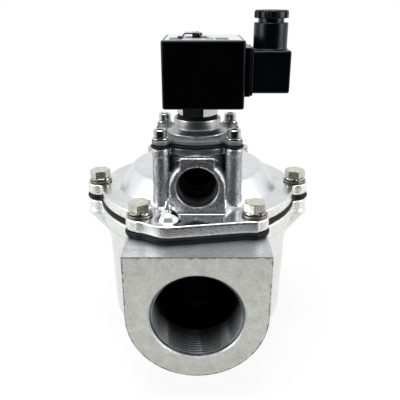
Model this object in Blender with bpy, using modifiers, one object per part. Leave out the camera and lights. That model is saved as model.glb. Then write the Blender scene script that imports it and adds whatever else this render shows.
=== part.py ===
"""Dust collector pulse valve: a right-angle cast body with a main diaphragm,
a cast bonnet that carries a second, smaller diaphragm valve, and a solenoid pilot.

Metres, +Z up. The valve stands on its outlet face. The inlet faces -Y.
Heights named in a section are measured up from the outlet face unless a comment
says otherwise.
"""

import math

import bmesh
import bpy
from mathutils import Matrix, Vector

MM = 0.001

# Clearances between pieces
SEAT_GAP = 0.3 * MM          # between faces that rest on each other
SLIDE_GAP = 0.3 * MM         # round a pin, shank or spigot in its hole
OVERLAP = 2.0 * MM           # how far shapes of one casting run into each other
PAST = 3.0 * MM              # how far a cutter runs past the face that it opens
FACE_INSET = 0.02 * MM       # keeps faces of joined shapes out of one plane
WELD = 0.001 * MM            # points closer than this are one point

# Body casting
BODY_HEIGHT = 109.0 * MM
OUTLET_BOSS_RADIUS = 40.0 * MM
OUTLET_BOSS_HEIGHT = 11.0 * MM
BARREL_RADIUS_TOP = 67.0 * MM
BARREL_RADIUS_LOW = 65.0 * MM
BARREL_LOW_HEIGHT = 28.0 * MM
BARREL_ROUNDING = 14.0 * MM
BODY_FLANGE_THICKNESS = 11.0 * MM
BODY_LOBE_DEPTH = 12.0 * MM
BODY_LOBE_TAPER = 20.0 * MM
CHAMBER_RADIUS = 58.0 * MM
CHAMBER_FLOOR = 33.0 * MM
CHAMBER_ROUNDING = 12.0 * MM
OUTLET_TUBE_WALL = 5.0 * MM
OUTLET_TUBE_RADIUS = 26.0 * MM       # bore of the outlet tube

# Pipe threads: bores at the major diameter, with a chamfer at the mouth
PIPE_THREAD_RADIUS = 29.8 * MM
PIPE_THREAD_DEPTH = 26.0 * MM
PIPE_CHAMFER = 0.8 * MM
INLET_THROAT_RADIUS = 27.0 * MM
INLET_HEIGHT = 65.7 * MM             # axis of the inlet
INLET_REACH = 95.6 * MM              # inlet face in front of the valve axis
INLET_BLOCK_HALF_WIDTH = 45.0 * MM
INLET_BLOCK_DROP = 0.6 * MM          # top of the inlet block below the body's top face

# Flange outline shared by body, diaphragm and bonnet
BOLT_COUNT = 6
BOLT_CIRCLE = 73.0 * MM
BOLT_LOBE_RADIUS = 9.3 * MM
FLANGE_RADIUS = 71.0 * MM
FRONT_CORNER = (-21.4 * MM, -82.0 * MM)
FRONT_CORNER_LEFT = (-36.5 * MM, -72.5 * MM)
FRONT_CORNER_RIGHT = (36.5 * MM, -72.5 * MM)
DIAPHRAGM_OVERHANG = 1.5 * MM

# Main diaphragm and what it carries
DIAPHRAGM_RIM = 3.7 * MM
DIAPHRAGM_SHEET = 3.0 * MM
DIAPHRAGM_FREE_RADIUS = 50.0 * MM
DIAPHRAGM_PLATE_RADIUS = 35.0 * MM
DIAPHRAGM_FOLD_HEIGHT = 3.6 * MM
LOWER_DISC_RADIUS = 24.0 * MM
LOWER_DISC_THICKNESS = 2.5 * MM
UPPER_PLATE_THICKNESS = 2.0 * MM
UPPER_PLATE_LIP = 1.2 * MM
HUB_RADIUS = 4.0 * MM
HUB_HEAD_RADIUS = 8.0 * MM
HUB_HEAD_THICKNESS = 2.2 * MM
HUB_NUT_FLATS = 13.0 * MM
HUB_NUT_THICKNESS = 5.0 * MM
MAIN_SPRING_RADIUS = 11.0 * MM
MAIN_SPRING_WIRE = 1.0 * MM
MAIN_SPRING_TURNS = 3.0

# Bonnet casting; its heights are measured up from its own underside
BONNET_FLANGE_THICKNESS = 8.0 * MM
DOME_HEIGHT = 23.2 * MM
DOME_BASE_RADIUS = 58.0 * MM
DOME_TOP_RADIUS = 47.0 * MM
DOME_SHOULDER = 2.4 * MM
CAVITY_RADIUS = 49.0 * MM
CAVITY_WALL_HEIGHT = 5.7 * MM
CAVITY_STEP_RADIUS = 36.0 * MM
CAVITY_STEP_HEIGHT = 14.0 * MM
CAVITY_ROOF_RADIUS = 31.0 * MM
CAVITY_ROOF_HEIGHT = 18.2 * MM
TOWER_HEIGHT = 47.9 * MM
TOWER_RADIUS = 27.0 * MM
TOWER_RIM_THICKNESS = 5.0 * MM
COLUMN_TOP_RADIUS = 4.9 * MM
COLUMN_FOOT_RADIUS = 5.9 * MM
PORT_HEIGHT = 25.7 * MM
PORT_REACH = 62.0 * MM
PORT_BOSS_RADIUS = 17.9 * MM
PORT_THREAD_RADIUS = 13.2 * MM
PORT_THREAD_DEPTH = 14.0 * MM
PORT_CHAMFER = 0.8 * MM
PORT_PASSAGE_RADIUS = 9.5 * MM
PORT_PASSAGE_RISE = 5.0 * MM
PORT_TAB_HALF_WIDTH = 10.8 * MM
PORT_TAB_HEIGHT = 45.3 * MM
PORT_TAB_THICKNESS = 3.4 * MM
BLEED_HUMP_PLACE = (-18.0 * MM, -69.5 * MM)
BLEED_HUMP_RADIUS = 7.2 * MM
BLEED_HUMP_HEIGHT = 6.0 * MM
BLEED_RIDGE_RADIUS = 3.0 * MM
PILOT_CHAMBER_RADIUS = 21.5 * MM
PILOT_CHAMBER_FLOOR = 23.7 * MM
PILOT_SEAT_RADIUS = 8.0 * MM
PILOT_SEAT_WALL = 3.0 * MM

# Bonnet bolts with their washers
BOLT_RADIUS = 4.0 * MM
BOLT_HEAD_FLATS = 13.0 * MM
BOLT_HEAD_THICKNESS = 5.3 * MM
BOLT_CHAMFER = 0.4 * MM
BOLT_TURN = 11                       # degrees between one head's stand and the next
BOLT_GRIP_IN_BODY = 11.0 * MM
BOLT_HOLE_CLEARANCE = 0.5 * MM
BOLT_HOLE_SPARE_DEPTH = 2.0 * MM
FLAT_WASHER_RADIUS = 8.2 * MM
FLAT_WASHER_THICKNESS = 1.4 * MM
SPRING_WASHER_RADIUS = 7.1 * MM
SPRING_WASHER_THICKNESS = 1.8 * MM
SPRING_WASHER_SLOT = 1.2 * MM

# Pilot stage; its own axis stands in front of the valve axis
PILOT_OFFSET = 22.6 * MM
PILOT_RADIUS = 28.6 * MM
PILOT_SCREW_SPACING = 46.8 * MM
PILOT_LOBE_RADIUS = 5.6 * MM
PILOT_OVERHANG = 1.0 * MM
PILOT_RUBBER = 1.6 * MM
PILOT_PLATE_RADIUS = 12.0 * MM
PILOT_PLATE_THICKNESS = 1.2 * MM
PILOT_FOLD_HEIGHT = 1.8 * MM
PILOT_RIVET_RADIUS = 1.6 * MM
PILOT_RIVET_HEAD_RADIUS = 3.4 * MM
PILOT_RIVET_HEAD = 1.0 * MM
PILOT_SHEET_INSET = 0.1 * MM  # how much the free sheet lies within its rim, each side
PILOT_SPRING_RADIUS = 4.6 * MM
PILOT_SPRING_WIRE = 0.45 * MM
PILOT_SPRING_TURNS = 3.0

# Pilot cover; its heights are measured up from its own underside
COVER_FLANGE = 3.0 * MM
COVER_RING_RADIUS = 20.0 * MM
COVER_RING_HEIGHT = 3.8 * MM
COVER_CONE_HEIGHT = 6.3 * MM
TURRET_RADIUS = 15.6 * MM
TURRET_HEIGHT = 12.6 * MM
TURRET_CHAMFER = 0.6 * MM
TURRET_BORE_RADIUS = 9.0 * MM
TURRET_BORE_FLOOR = 7.9 * MM
NOZZLE_RADIUS = 3.0 * MM
NOZZLE_HEIGHT = 1.4 * MM
NOZZLE_HOLE_RADIUS = 1.1 * MM
COVER_CAVITY_RADIUS = 20.6 * MM
COVER_CAVITY_HEIGHT = 4.3 * MM
SPRING_POCKET_RADIUS = 5.6 * MM
SPRING_POCKET_HEIGHT = 6.2 * MM

# Pilot cover screws
SCREW_RADIUS = 2.5 * MM
SCREW_HEAD_RADIUS = 4.25 * MM
SCREW_HEAD_HEIGHT = 5.0 * MM
SCREW_SOCKET_FLATS = 4.0 * MM
SCREW_SOCKET_DEPTH = 2.5 * MM
SCREW_GRIP = 10.0 * MM
SCREW_WASHER_RADIUS = 5.0 * MM
SCREW_WASHER_THICKNESS = 0.9 * MM
SCREW_TURN = 17                      # degrees between one socket's stand and the next

# Core tube, core and their seals
TUBE_SEAL_RADIUS = 13.6 * MM
TUBE_SEAL_THICKNESS = 1.0 * MM
HEX_FLATS = 24.2 * MM
HEX_HEIGHT = 7.6 * MM
HEX_TURN = math.radians(13.7)
SPIGOT_LENGTH = 2.6 * MM
TUBE_RADIUS = 7.2 * MM
TUBE_STUD_RADIUS = 3.2 * MM
TUBE_STUD_HEIGHT = 2.9 * MM
CORE_RADIUS = 5.6 * MM
CORE_LENGTH = 30.0 * MM
CORE_STROKE = 1.5 * MM
CORE_POCKET_RADIUS = 3.4 * MM
CORE_POCKET_DEPTH = 11.0 * MM
SEAT_DISC_RADIUS = 3.4 * MM
SEAT_DISC_THICKNESS = 2.6 * MM
SEAT_DISC_STANDS_OUT = 0.8 * MM
CORE_SPRING_RADIUS = 2.6 * MM
CORE_SPRING_WIRE = 0.35 * MM
CORE_SPRING_TURNS = 5.0

# Coil with its socket, name plate and clip
COIL_WIDTH = 50.6 * MM
COIL_DEPTH = 51.0 * MM
COIL_HEIGHT = 40.8 * MM
COIL_SHIFT = 3.7 * MM                # coil's centre beside the core tube
COIL_CORNER = 2.2 * MM
COIL_EDGE = 1.2 * MM
NAMEPLATE_WIDTH = 46.6 * MM
NAMEPLATE_DEPTH = 46.0 * MM
NAMEPLATE_THICKNESS = 0.6 * MM
NAMEPLATE_SINK = 0.7 * MM
CLIP_LENGTH = 17.8 * MM
CLIP_WIDTH = 15.0 * MM
CLIP_SHIFT = 3.3 * MM
CLIP_SHEET = 0.8 * MM
CLIP_RISE = 2.0 * MM
CLIP_FOOT = 2.6 * MM
SOCKET_THICKNESS = 4.2 * MM
SOCKET_HEIGHT = 29.8 * MM
SOCKET_WIDTH = 29.0 * MM
SOCKET_BOTTOM = 6.0 * MM             # above the coil's underside

# Plug connector and cable gland
GASKET_THICKNESS = 1.2 * MM
GASKET_MARGIN = 0.5 * MM             # socket edge to gasket edge
PLUG_LENGTH = 23.3 * MM
PLUG_HEIGHT = 26.2 * MM
PLUG_WIDTH = 27.0 * MM
PLUG_EDGE = 1.6 * MM
PLUG_WALL = 3.0 * MM
PLUG_CAVITY_DEPTH = 20.0 * MM
INSERT_LENGTH = 15.0 * MM
INSERT_HEIGHT = 15.0 * MM
SLEEVE_RADIUS = 10.7 * MM
SLEEVE_HEIGHT = 15.9 * MM
SLEEVE_BORE_RADIUS = 7.9 * MM
SLEEVE_BORE_DEPTH = 14.5 * MM
SLEEVE_PLACE = 11.3 * MM             # sleeve axis from the plug's inner face
CABLE_HOLE_RADIUS = 4.6 * MM
WIRE_HOLE_RADIUS = 5.4 * MM
GLAND_SEAL_LENGTH = 6.5 * MM
GLAND_WASHER_THICKNESS = 1.2 * MM
GLAND_NECK_RADIUS = 8.1 * MM
GLAND_NECK_HEIGHT = 2.2 * MM
GLAND_NUT_RADIUS = 10.7 * MM
GLAND_NUT_HEIGHT = 4.8 * MM
GLAND_NUT_RIBS = 12
GLAND_RIB_GROOVE = 0.9 * MM
GLAND_SPIGOT_LENGTH = 5.2 * MM
PLUG_SCREW_RADIUS = 1.5 * MM
PLUG_SCREW_HEAD_RADIUS = 2.9 * MM
PLUG_SCREW_HEAD_HEIGHT = 1.9 * MM
PLUG_SCREW_GRIP = 3.2 * MM
PLUG_SCREW_SLOT = 0.8 * MM

# Fineness of round pieces, in segments
LARGE_ROUND = 36
MEDIUM_ROUND = 20
INNER_ROUND = 14                     # pieces that the castings hide
SMALL_ROUND = 12
HOLE_ROUND = 8
OUTLINE_STEP = 12                    # degrees along a flange's round stretches
LOBE_STEP = 30                       # degrees round a lobe
LEAST_STEP = 0.8                     # degrees below which an outline's points are one
SHARP_ANGLE = 35                     # degrees above which an edge is shaded sharp

# Heights that follow from the stack of pieces
DIAPHRAGM_BOTTOM = BODY_HEIGHT + SEAT_GAP
BONNET_BOTTOM = DIAPHRAGM_BOTTOM + DIAPHRAGM_RIM + SEAT_GAP
FLANGE_TOP = BONNET_BOTTOM + BONNET_FLANGE_THICKNESS
TOWER_TOP = BONNET_BOTTOM + TOWER_HEIGHT
PILOT_RUBBER_BOTTOM = TOWER_TOP + SEAT_GAP
COVER_BOTTOM = PILOT_RUBBER_BOTTOM + PILOT_RUBBER + SEAT_GAP
TURRET_TOP = COVER_BOTTOM + TURRET_HEIGHT
HEX_BOTTOM = TURRET_TOP + SEAT_GAP + TUBE_SEAL_THICKNESS + SEAT_GAP
HEX_TOP = HEX_BOTTOM + HEX_HEIGHT
COIL_BOTTOM = HEX_TOP + SEAT_GAP
COIL_TOP = COIL_BOTTOM + COIL_HEIGHT
PORT_AXIS = BONNET_BOTTOM + PORT_HEIGHT
SOCKET_FACE = COIL_SHIFT + COIL_WIDTH / 2 + SOCKET_THICKNESS
GASKET_FACE = SOCKET_FACE + SEAT_GAP
PLUG_FACE = GASKET_FACE + GASKET_THICKNESS + SEAT_GAP
SOCKET_MIDDLE = COIL_BOTTOM + SOCKET_BOTTOM + SOCKET_HEIGHT / 2
PLUG_TOP = SOCKET_MIDDLE + PLUG_HEIGHT / 2
SLEEVE_TOP = PLUG_TOP + SLEEVE_HEIGHT

# The row's origin is under the middle of the whole valve, front to back
REAR_BOLT_REACH = BOLT_CIRCLE * math.cos(math.pi / BOLT_COUNT) + BOLT_LOBE_RADIUS
REAR_REACH = max(FLANGE_RADIUS, REAR_BOLT_REACH) + DIAPHRAGM_OVERHANG
VALVE_AXIS_Y = (INLET_REACH - REAR_REACH) / 2


def clear_scene():
    for item in list(bpy.data.objects):
        bpy.data.objects.remove(item, do_unlink=True)


def new_collection(name):
    group = bpy.data.collections.new(name)
    bpy.context.scene.collection.children.link(group)
    return group


def new_material(name, colour, roughness, metallic):
    material = bpy.data.materials.new(name)
    material.use_nodes = True
    shader = material.node_tree.nodes["Principled BSDF"]
    shader.inputs["Base Color"].default_value = (*colour, 1.0)
    shader.inputs["Roughness"].default_value = roughness
    shader.inputs["Metallic"].default_value = metallic
    material.diffuse_color = (*colour, 1.0)
    return material


def new_object(name, data):
    item = bpy.data.objects.new(name, data)
    CUTTERS.objects.link(item)
    return item


def settle(item):
    """Return the object with its modifiers, or its curve, made one plain mesh."""
    bpy.context.view_layer.update()
    graph = bpy.context.evaluated_depsgraph_get()
    mesh = bpy.data.meshes.new_from_object(item.evaluated_get(graph))
    shape = bmesh.new()
    shape.from_mesh(mesh)
    bmesh.ops.remove_doubles(shape, verts=shape.verts, dist=WELD)
    shape.to_mesh(mesh)
    shape.free()
    name = item.name
    place = item.matrix_world.copy()
    bpy.data.objects.remove(item, do_unlink=True)
    result = new_object(name, mesh)
    result.matrix_world = place
    return result


def combine(item, tools, operation):
    """Join or cut an object with tools, one after another, and remove the tools."""
    for tool in tools:
        tool.display_type = "WIRE"
        tool.hide_render = True
        step = item.modifiers.new(tool.name, "BOOLEAN")
        step.operation = operation
        step.solver = "EXACT"
        step.object = tool
        item = settle(item)
        bpy.data.objects.remove(tool, do_unlink=True)
    return item


def join(item, *tools):
    return combine(item, tools, "UNION")


def cut(item, *tools):
    return combine(item, tools, "DIFFERENCE")


def place(item, x=0.0, y=0.0, z=0.0, turn=None):
    """Set an object down. A turn of 'front' lays its Z along -Y, 'side' along +X."""
    turns = {None: Matrix(), "front": Matrix.Rotation(math.pi / 2, 4, "X"),
             "side": Matrix.Rotation(math.pi / 2, 4, "Y")}
    item.matrix_world = Matrix.Translation((x, y, z)) @ turns[turn]
    return item


def turned(name, profile, steps=MEDIUM_ROUND, closed=True):
    """Turn a profile of (radius, height) points about Z.

    The points run down the outer side and back up the inner one. A profile that
    starts and ends on the axis is left open there.
    """
    points = [(radius, 0.0, height) for radius, height in profile]
    edges = [(i, i + 1) for i in range(len(points) - 1)]
    if closed:
        edges.append((len(points) - 1, 0))
    mesh = bpy.data.meshes.new(name)
    mesh.from_pydata(points, edges, [])
    item = new_object(name, mesh)
    screw = item.modifiers.new("turn", "SCREW")
    screw.axis = "Z"
    screw.steps = steps
    screw.render_steps = steps
    screw.use_merge_vertices = True
    screw.merge_threshold = WELD
    return settle(item)


def rod(name, radius, bottom, top, steps=SMALL_ROUND, foot_radius=None):
    """A round rod along Z, tapered where its foot has a radius of its own."""
    foot = radius if foot_radius is None else foot_radius
    profile = [(0.0, top), (radius, top), (foot, bottom), (0.0, bottom)]
    return turned(name, profile, steps, closed=False)


def hole(name, pin_radius, gap, bottom, top):
    """A cutter for a round hole whose flats clear a pin by a gap."""
    return rod(name, (pin_radius + gap) / math.cos(math.pi / HOLE_ROUND), bottom, top, HOLE_ROUND)


def ring(name, outer, inner, bottom, top, steps=MEDIUM_ROUND):
    return turned(name, [(outer, top), (outer, bottom), (inner, bottom), (inner, top)], steps)


def prism(name, flats, bottom, top, turn=0.0):
    """A hexagonal prism along Z. With no turn, a flat faces -Y."""
    shape = bmesh.new()
    corner = flats / 2 / math.cos(math.pi / 6)
    bmesh.ops.create_cone(shape, cap_ends=True, segments=6, radius1=corner, radius2=corner,
                          depth=top - bottom)
    spin = Matrix.Rotation(turn, 4, "Z")
    shift = Matrix.Translation((0, 0, (top + bottom) / 2))
    bmesh.ops.transform(shape, matrix=shift @ spin, verts=shape.verts)
    mesh = bpy.data.meshes.new(name)
    shape.to_mesh(mesh)
    shape.free()
    return new_object(name, mesh)


def block(name, low, high, edge=0.0, segments=2, upright=0.0):
    """A box between two corners, with rounded edges. Its upright edges may be rounder."""
    shape = bmesh.new()
    bmesh.ops.create_cube(shape, size=1.0)
    size = [b - a for a, b in zip(low, high)]
    middle = [(a + b) / 2 for a, b in zip(low, high)]
    bmesh.ops.scale(shape, vec=size, verts=shape.verts)
    bmesh.ops.translate(shape, vec=middle, verts=shape.verts)
    if upright > 0.0:
        edges = [e for e in shape.edges
                 if abs(e.verts[0].co.z - e.verts[1].co.z) > size[2] / 2]
        bmesh.ops.bevel(shape, geom=edges, offset=upright, segments=segments + 1,
                        profile=0.5, affect="EDGES")
    if edge > 0.0:
        rims = [e for e in shape.edges
                if upright == 0.0 or abs(e.verts[0].co.z - e.verts[1].co.z) < 0.01 * MM]
        bmesh.ops.bevel(shape, geom=rims, offset=edge, segments=segments,
                        profile=0.5, affect="EDGES")
    mesh = bpy.data.meshes.new(name)
    shape.to_mesh(mesh)
    shape.free()
    return new_object(name, mesh)


def plate(name, outline, bottom, top):
    """A flat plate of any outline, filled from a closed 2D curve."""
    data = bpy.data.curves.new(name, "CURVE")
    data.dimensions = "2D"
    data.fill_mode = "BOTH"
    data.extrude = (top - bottom) / 2
    line = data.splines.new("POLY")
    line.points.add(len(outline) - 1)
    for point, (x, y) in zip(line.points, outline):
        point.co = (x, y, 0.0, 1.0)
    line.use_cyclic_u = True
    item = new_object(name, data)
    item = settle(item)
    item.data.transform(Matrix.Translation((0, 0, (top + bottom) / 2)))
    return item


def wire_spring(name, radius, wire, turns, bottom, top, per_turn=10):
    """A coil spring of round wire, its first and last half turn lying flat."""
    data = bpy.data.curves.new(name, "CURVE")
    data.dimensions = "3D"
    data.bevel_depth = wire
    data.bevel_resolution = 2
    data.use_fill_caps = True
    count = int(turns * per_turn) + 1
    line = data.splines.new("POLY")
    line.points.add(count - 1)
    low, high = bottom + wire, top - wire
    flat = 0.5 / turns
    for i in range(count):
        share = i / (count - 1)
        climb = min(1.0, max(0.0, (share - flat) / (1 - 2 * flat)))
        angle = 2 * math.pi * turns * share
        height = low + (high - low) * climb
        line.points[i].co = (radius * math.cos(angle), radius * math.sin(angle), height, 1.0)
    return settle(new_object(name, data))


def circle_places(count, radius, start=0.0):
    """Centres spaced evenly on a circle."""
    angles = [start + 2 * math.pi * i / count for i in range(count)]
    return [(radius * math.cos(a), radius * math.sin(a)) for a in angles]


def far_side(angle, centre, radius):
    """Distance from the origin, along an angle, to the far side of a circle."""
    reach = math.hypot(*centre)
    off = angle - math.atan2(centre[1], centre[0])
    across = reach * math.sin(off)
    if math.cos(off) <= 0 or abs(across) > radius:
        return 0.0
    return reach * math.cos(off) + math.sqrt(radius ** 2 - across ** 2)


def to_edge(angle, start, end):
    """Distance from the origin, along an angle, to a straight edge, 0 where it misses."""
    way = Vector((math.cos(angle), math.sin(angle)))
    along = Vector(end) - Vector(start)
    cross = way.x * along.y - way.y * along.x
    if abs(cross) < WELD ** 2:
        return 0.0
    share = (start[1] * way.x - start[0] * way.y) / -cross
    distance = (start[0] * along.y - start[1] * along.x) / cross
    return distance if 0.0 <= share <= 1.0 and distance > 0 else 0.0


def lobed_outline(radius, places, lobe_radius, grow=0.0, corners=()):
    """A disc with a round lobe at each place and straight edges between corners.

    Each point lies on whichever of the shapes reaches furthest in its direction.
    """
    angles = [math.radians(step) for step in range(0, 360, OUTLINE_STEP)]
    for x, y in places:
        facing = math.atan2(y, x)
        for swing in range(-90, 91, LOBE_STEP):
            turn = facing + math.radians(swing)
            edge_x = x + (lobe_radius + grow) * math.cos(turn)
            edge_y = y + (lobe_radius + grow) * math.sin(turn)
            angles.append(math.atan2(edge_y, edge_x) % (2 * math.pi))
    grown = [tuple(Vector(c) * (1 + grow / Vector(c).length)) for c in corners]
    angles += [math.atan2(y, x) % (2 * math.pi) for x, y in grown]
    outline = []
    last = None
    for angle in sorted(angles):
        if last is not None and angle - last < math.radians(LEAST_STEP):
            continue
        reach = radius + grow
        reach = max([reach] + [far_side(angle, spot, lobe_radius + grow) for spot in places])
        reach = max([reach] + [to_edge(angle, a, b) for a, b in zip(grown, grown[1:])])
        outline.append((reach * math.cos(angle), reach * math.sin(angle)))
        last = angle
    return outline


BOLT_PLACES = circle_places(BOLT_COUNT, BOLT_CIRCLE)
SCREW_PLACES = [(x * PILOT_SCREW_SPACING / 2, y * PILOT_SCREW_SPACING / 2)
                for x, y in ((-1, -1), (1, -1), (1, 1), (-1, 1))]


def flange_outline(grow=0.0):
    corners = (FRONT_CORNER_LEFT, FRONT_CORNER, FRONT_CORNER_RIGHT)
    return lobed_outline(FLANGE_RADIUS, BOLT_PLACES, BOLT_LOBE_RADIUS, grow, corners)


def pilot_outline(grow=0.0):
    return lobed_outline(PILOT_RADIUS, SCREW_PLACES, PILOT_LOBE_RADIUS, grow)


def arch_outline(half_width, foot, centre, steps=18):
    """An arch: straight sides up from its foot and a half circle about its centre."""
    crown = [(half_width * math.cos(math.pi * i / steps),
              centre + half_width * math.sin(math.pi * i / steps)) for i in range(steps + 1)]
    return [(-half_width, foot), (half_width, foot)] + crown


def port_cutter(name, thread, depth, chamfer, reach, throat, end):
    """A stepped round cutter for a threaded port, along local Z.

    It runs from end out past the face at reach, opening from the throat to the
    thread's bore, and ends in the chamfer at the mouth.
    """
    start = reach - depth
    profile = [(0.0, reach + PAST), (thread + chamfer + PAST, reach + PAST), (thread, reach - chamfer),
               (thread, start), (throat, start - (thread - throat) / 2), (throat, end), (0.0, end)]
    return turned(name, profile, MEDIUM_ROUND + 8, closed=False)


def at_places(make, places):
    """Copies of one tool at several places, joined in one object."""
    shape = bmesh.new()
    tool = make()
    for x, y in places:
        copy = tool.data.copy()
        copy.transform(Matrix.Translation((x, y, 0.0)) @ tool.matrix_world)
        shape.from_mesh(copy)
        bpy.data.meshes.remove(copy)
    mesh = bpy.data.meshes.new(tool.name)
    shape.to_mesh(mesh)
    shape.free()
    bpy.data.objects.remove(tool, do_unlink=True)
    return new_object(mesh.name, mesh)


def leaning_lobes():
    """Under each bolt lobe, a round boss that leans in to meet the barrel."""
    shape = bmesh.new()
    top = BODY_HEIGHT - BODY_LOBE_DEPTH
    lean = BOLT_CIRCLE + BOLT_LOBE_RADIUS - BARREL_RADIUS_TOP + OVERLAP
    for x, y in BOLT_PLACES:
        cone = bmesh.ops.create_cone(shape, cap_ends=True, segments=SMALL_ROUND + 2,
                                     radius1=BOLT_LOBE_RADIUS, radius2=BOLT_LOBE_RADIUS,
                                     depth=BODY_LOBE_TAPER)
        bmesh.ops.translate(shape, vec=(x, y, top - BODY_LOBE_TAPER / 2), verts=cone["verts"])
        inward = Vector((-x, -y, 0.0)).normalized() * lean
        foot = [v for v in cone["verts"] if v.co.z < top - BODY_LOBE_TAPER / 2]
        bmesh.ops.translate(shape, vec=inward, verts=foot)
    mesh = bpy.data.meshes.new("leaning_lobes")
    shape.to_mesh(mesh)
    shape.free()
    return new_object("leaning_lobes", mesh)


def make_body():
    """The body casting: barrel, bolt lobes, inlet block, chamber and outlet tube."""
    low = OUTLET_BOSS_HEIGHT
    rounding = BARREL_ROUNDING
    turns = [math.pi / 8 * i for i in range(4)]
    curve = [(BARREL_RADIUS_LOW - rounding * (1 - math.cos(a)), low + rounding * (1 - math.sin(a)))
             for a in turns]
    barrel = turned("valve_body", [
        (0.0, BODY_HEIGHT - OVERLAP), (BARREL_RADIUS_TOP, BODY_HEIGHT - OVERLAP),
        (BARREL_RADIUS_TOP, BODY_HEIGHT / 2 + BARREL_LOW_HEIGHT / 2),
        (BARREL_RADIUS_LOW, BARREL_LOW_HEIGHT), *curve,
        (OUTLET_BOSS_RADIUS + OVERLAP, low), (OUTLET_BOSS_RADIUS, low - OVERLAP),
        (OUTLET_BOSS_RADIUS, 0.0), (0.0, 0.0)], LARGE_ROUND, closed=False)
    flange = plate("flange", flange_outline(), BODY_HEIGHT - BODY_FLANGE_THICKNESS, BODY_HEIGHT)
    inlet = plate("inlet_block", [
        (x, -z) for x, z in arch_outline(INLET_BLOCK_HALF_WIDTH,
                                         INLET_BLOCK_DROP - BODY_HEIGHT, -INLET_HEIGHT)],
        CHAMBER_RADIUS / 2, INLET_REACH)
    place(inlet, turn="front")
    body = join(barrel, flange, leaning_lobes(), inlet)

    tube_outer = OUTLET_TUBE_RADIUS + OUTLET_TUBE_WALL
    floor = CHAMBER_FLOOR
    chamber = turned("chamber", [
        (CHAMBER_RADIUS, BODY_HEIGHT + PAST), (CHAMBER_RADIUS, floor + CHAMBER_ROUNDING),
        (CHAMBER_RADIUS - CHAMBER_ROUNDING * 0.3, floor + CHAMBER_ROUNDING * 0.3),
        (CHAMBER_RADIUS - CHAMBER_ROUNDING, floor), (tube_outer + CHAMBER_ROUNDING / 2, floor),
        (tube_outer + OVERLAP, floor + CHAMBER_ROUNDING / 3),
        (tube_outer, BODY_HEIGHT + PAST)], LARGE_ROUND)
    outlet = port_cutter("outlet_bore", PIPE_THREAD_RADIUS, PIPE_THREAD_DEPTH, PIPE_CHAMFER,
                         0.0, OUTLET_TUBE_RADIUS, -BODY_HEIGHT - PAST)
    outlet.matrix_world = Matrix.Rotation(math.pi, 4, "X")
    inlet_bore = port_cutter("inlet_bore", PIPE_THREAD_RADIUS, PIPE_THREAD_DEPTH, PIPE_CHAMFER,
                             INLET_REACH, INLET_THROAT_RADIUS, tube_outer + 4 * OVERLAP)
    place(inlet_bore, z=INLET_HEIGHT, turn="front")
    hole_bottom = BODY_HEIGHT - BOLT_GRIP_IN_BODY - BOLT_HOLE_SPARE_DEPTH
    holes = at_places(lambda: hole("bolt_holes", BOLT_RADIUS, SLIDE_GAP, hole_bottom,
                                   BODY_HEIGHT + PAST), BOLT_PLACES)
    body = cut(body, chamber, outlet, inlet_bore, holes)
    return finish(body, CAST, VALVE_AXIS)


def make_main_diaphragm():
    """The rubber sheet: a rim clamped between the castings and a folded inner part."""
    rim_top = DIAPHRAGM_BOTTOM + DIAPHRAGM_RIM
    rim = plate("main_diaphragm", flange_outline(DIAPHRAGM_OVERHANG), DIAPHRAGM_BOTTOM, rim_top)
    eye = rod("eye", DIAPHRAGM_FREE_RADIUS, DIAPHRAGM_BOTTOM - PAST, rim_top + PAST, INNER_ROUND)
    holes = at_places(lambda: hole("bolt_holes", BOLT_RADIUS, BOLT_HOLE_CLEARANCE,
                                   DIAPHRAGM_BOTTOM - PAST, rim_top + PAST), BOLT_PLACES)
    rim = cut(rim, eye, holes)
    start, end = DIAPHRAGM_PLATE_RADIUS, DIAPHRAGM_FREE_RADIUS - OVERLAP
    fold = [(end + (start - end) * i / 3, DIAPHRAGM_FOLD_HEIGHT * math.sin(math.pi * i / 3))
            for i in range(4)]
    top = [(r, DIAPHRAGM_BOTTOM + DIAPHRAGM_SHEET + h) for r, h in reversed(fold)]
    under = [(r, DIAPHRAGM_BOTTOM + h) for r, h in fold]
    hub = HUB_RADIUS + SLIDE_GAP
    sheet = turned("sheet", [
        (hub, DIAPHRAGM_BOTTOM + DIAPHRAGM_SHEET), *top,
        (DIAPHRAGM_FREE_RADIUS + OVERLAP, DIAPHRAGM_BOTTOM + DIAPHRAGM_SHEET),
        (DIAPHRAGM_FREE_RADIUS + OVERLAP, DIAPHRAGM_BOTTOM + SEAT_GAP),
        *under, (hub, DIAPHRAGM_BOTTOM)], INNER_ROUND)
    return finish(join(rim, sheet), RUBBER, VALVE_AXIS)


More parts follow.
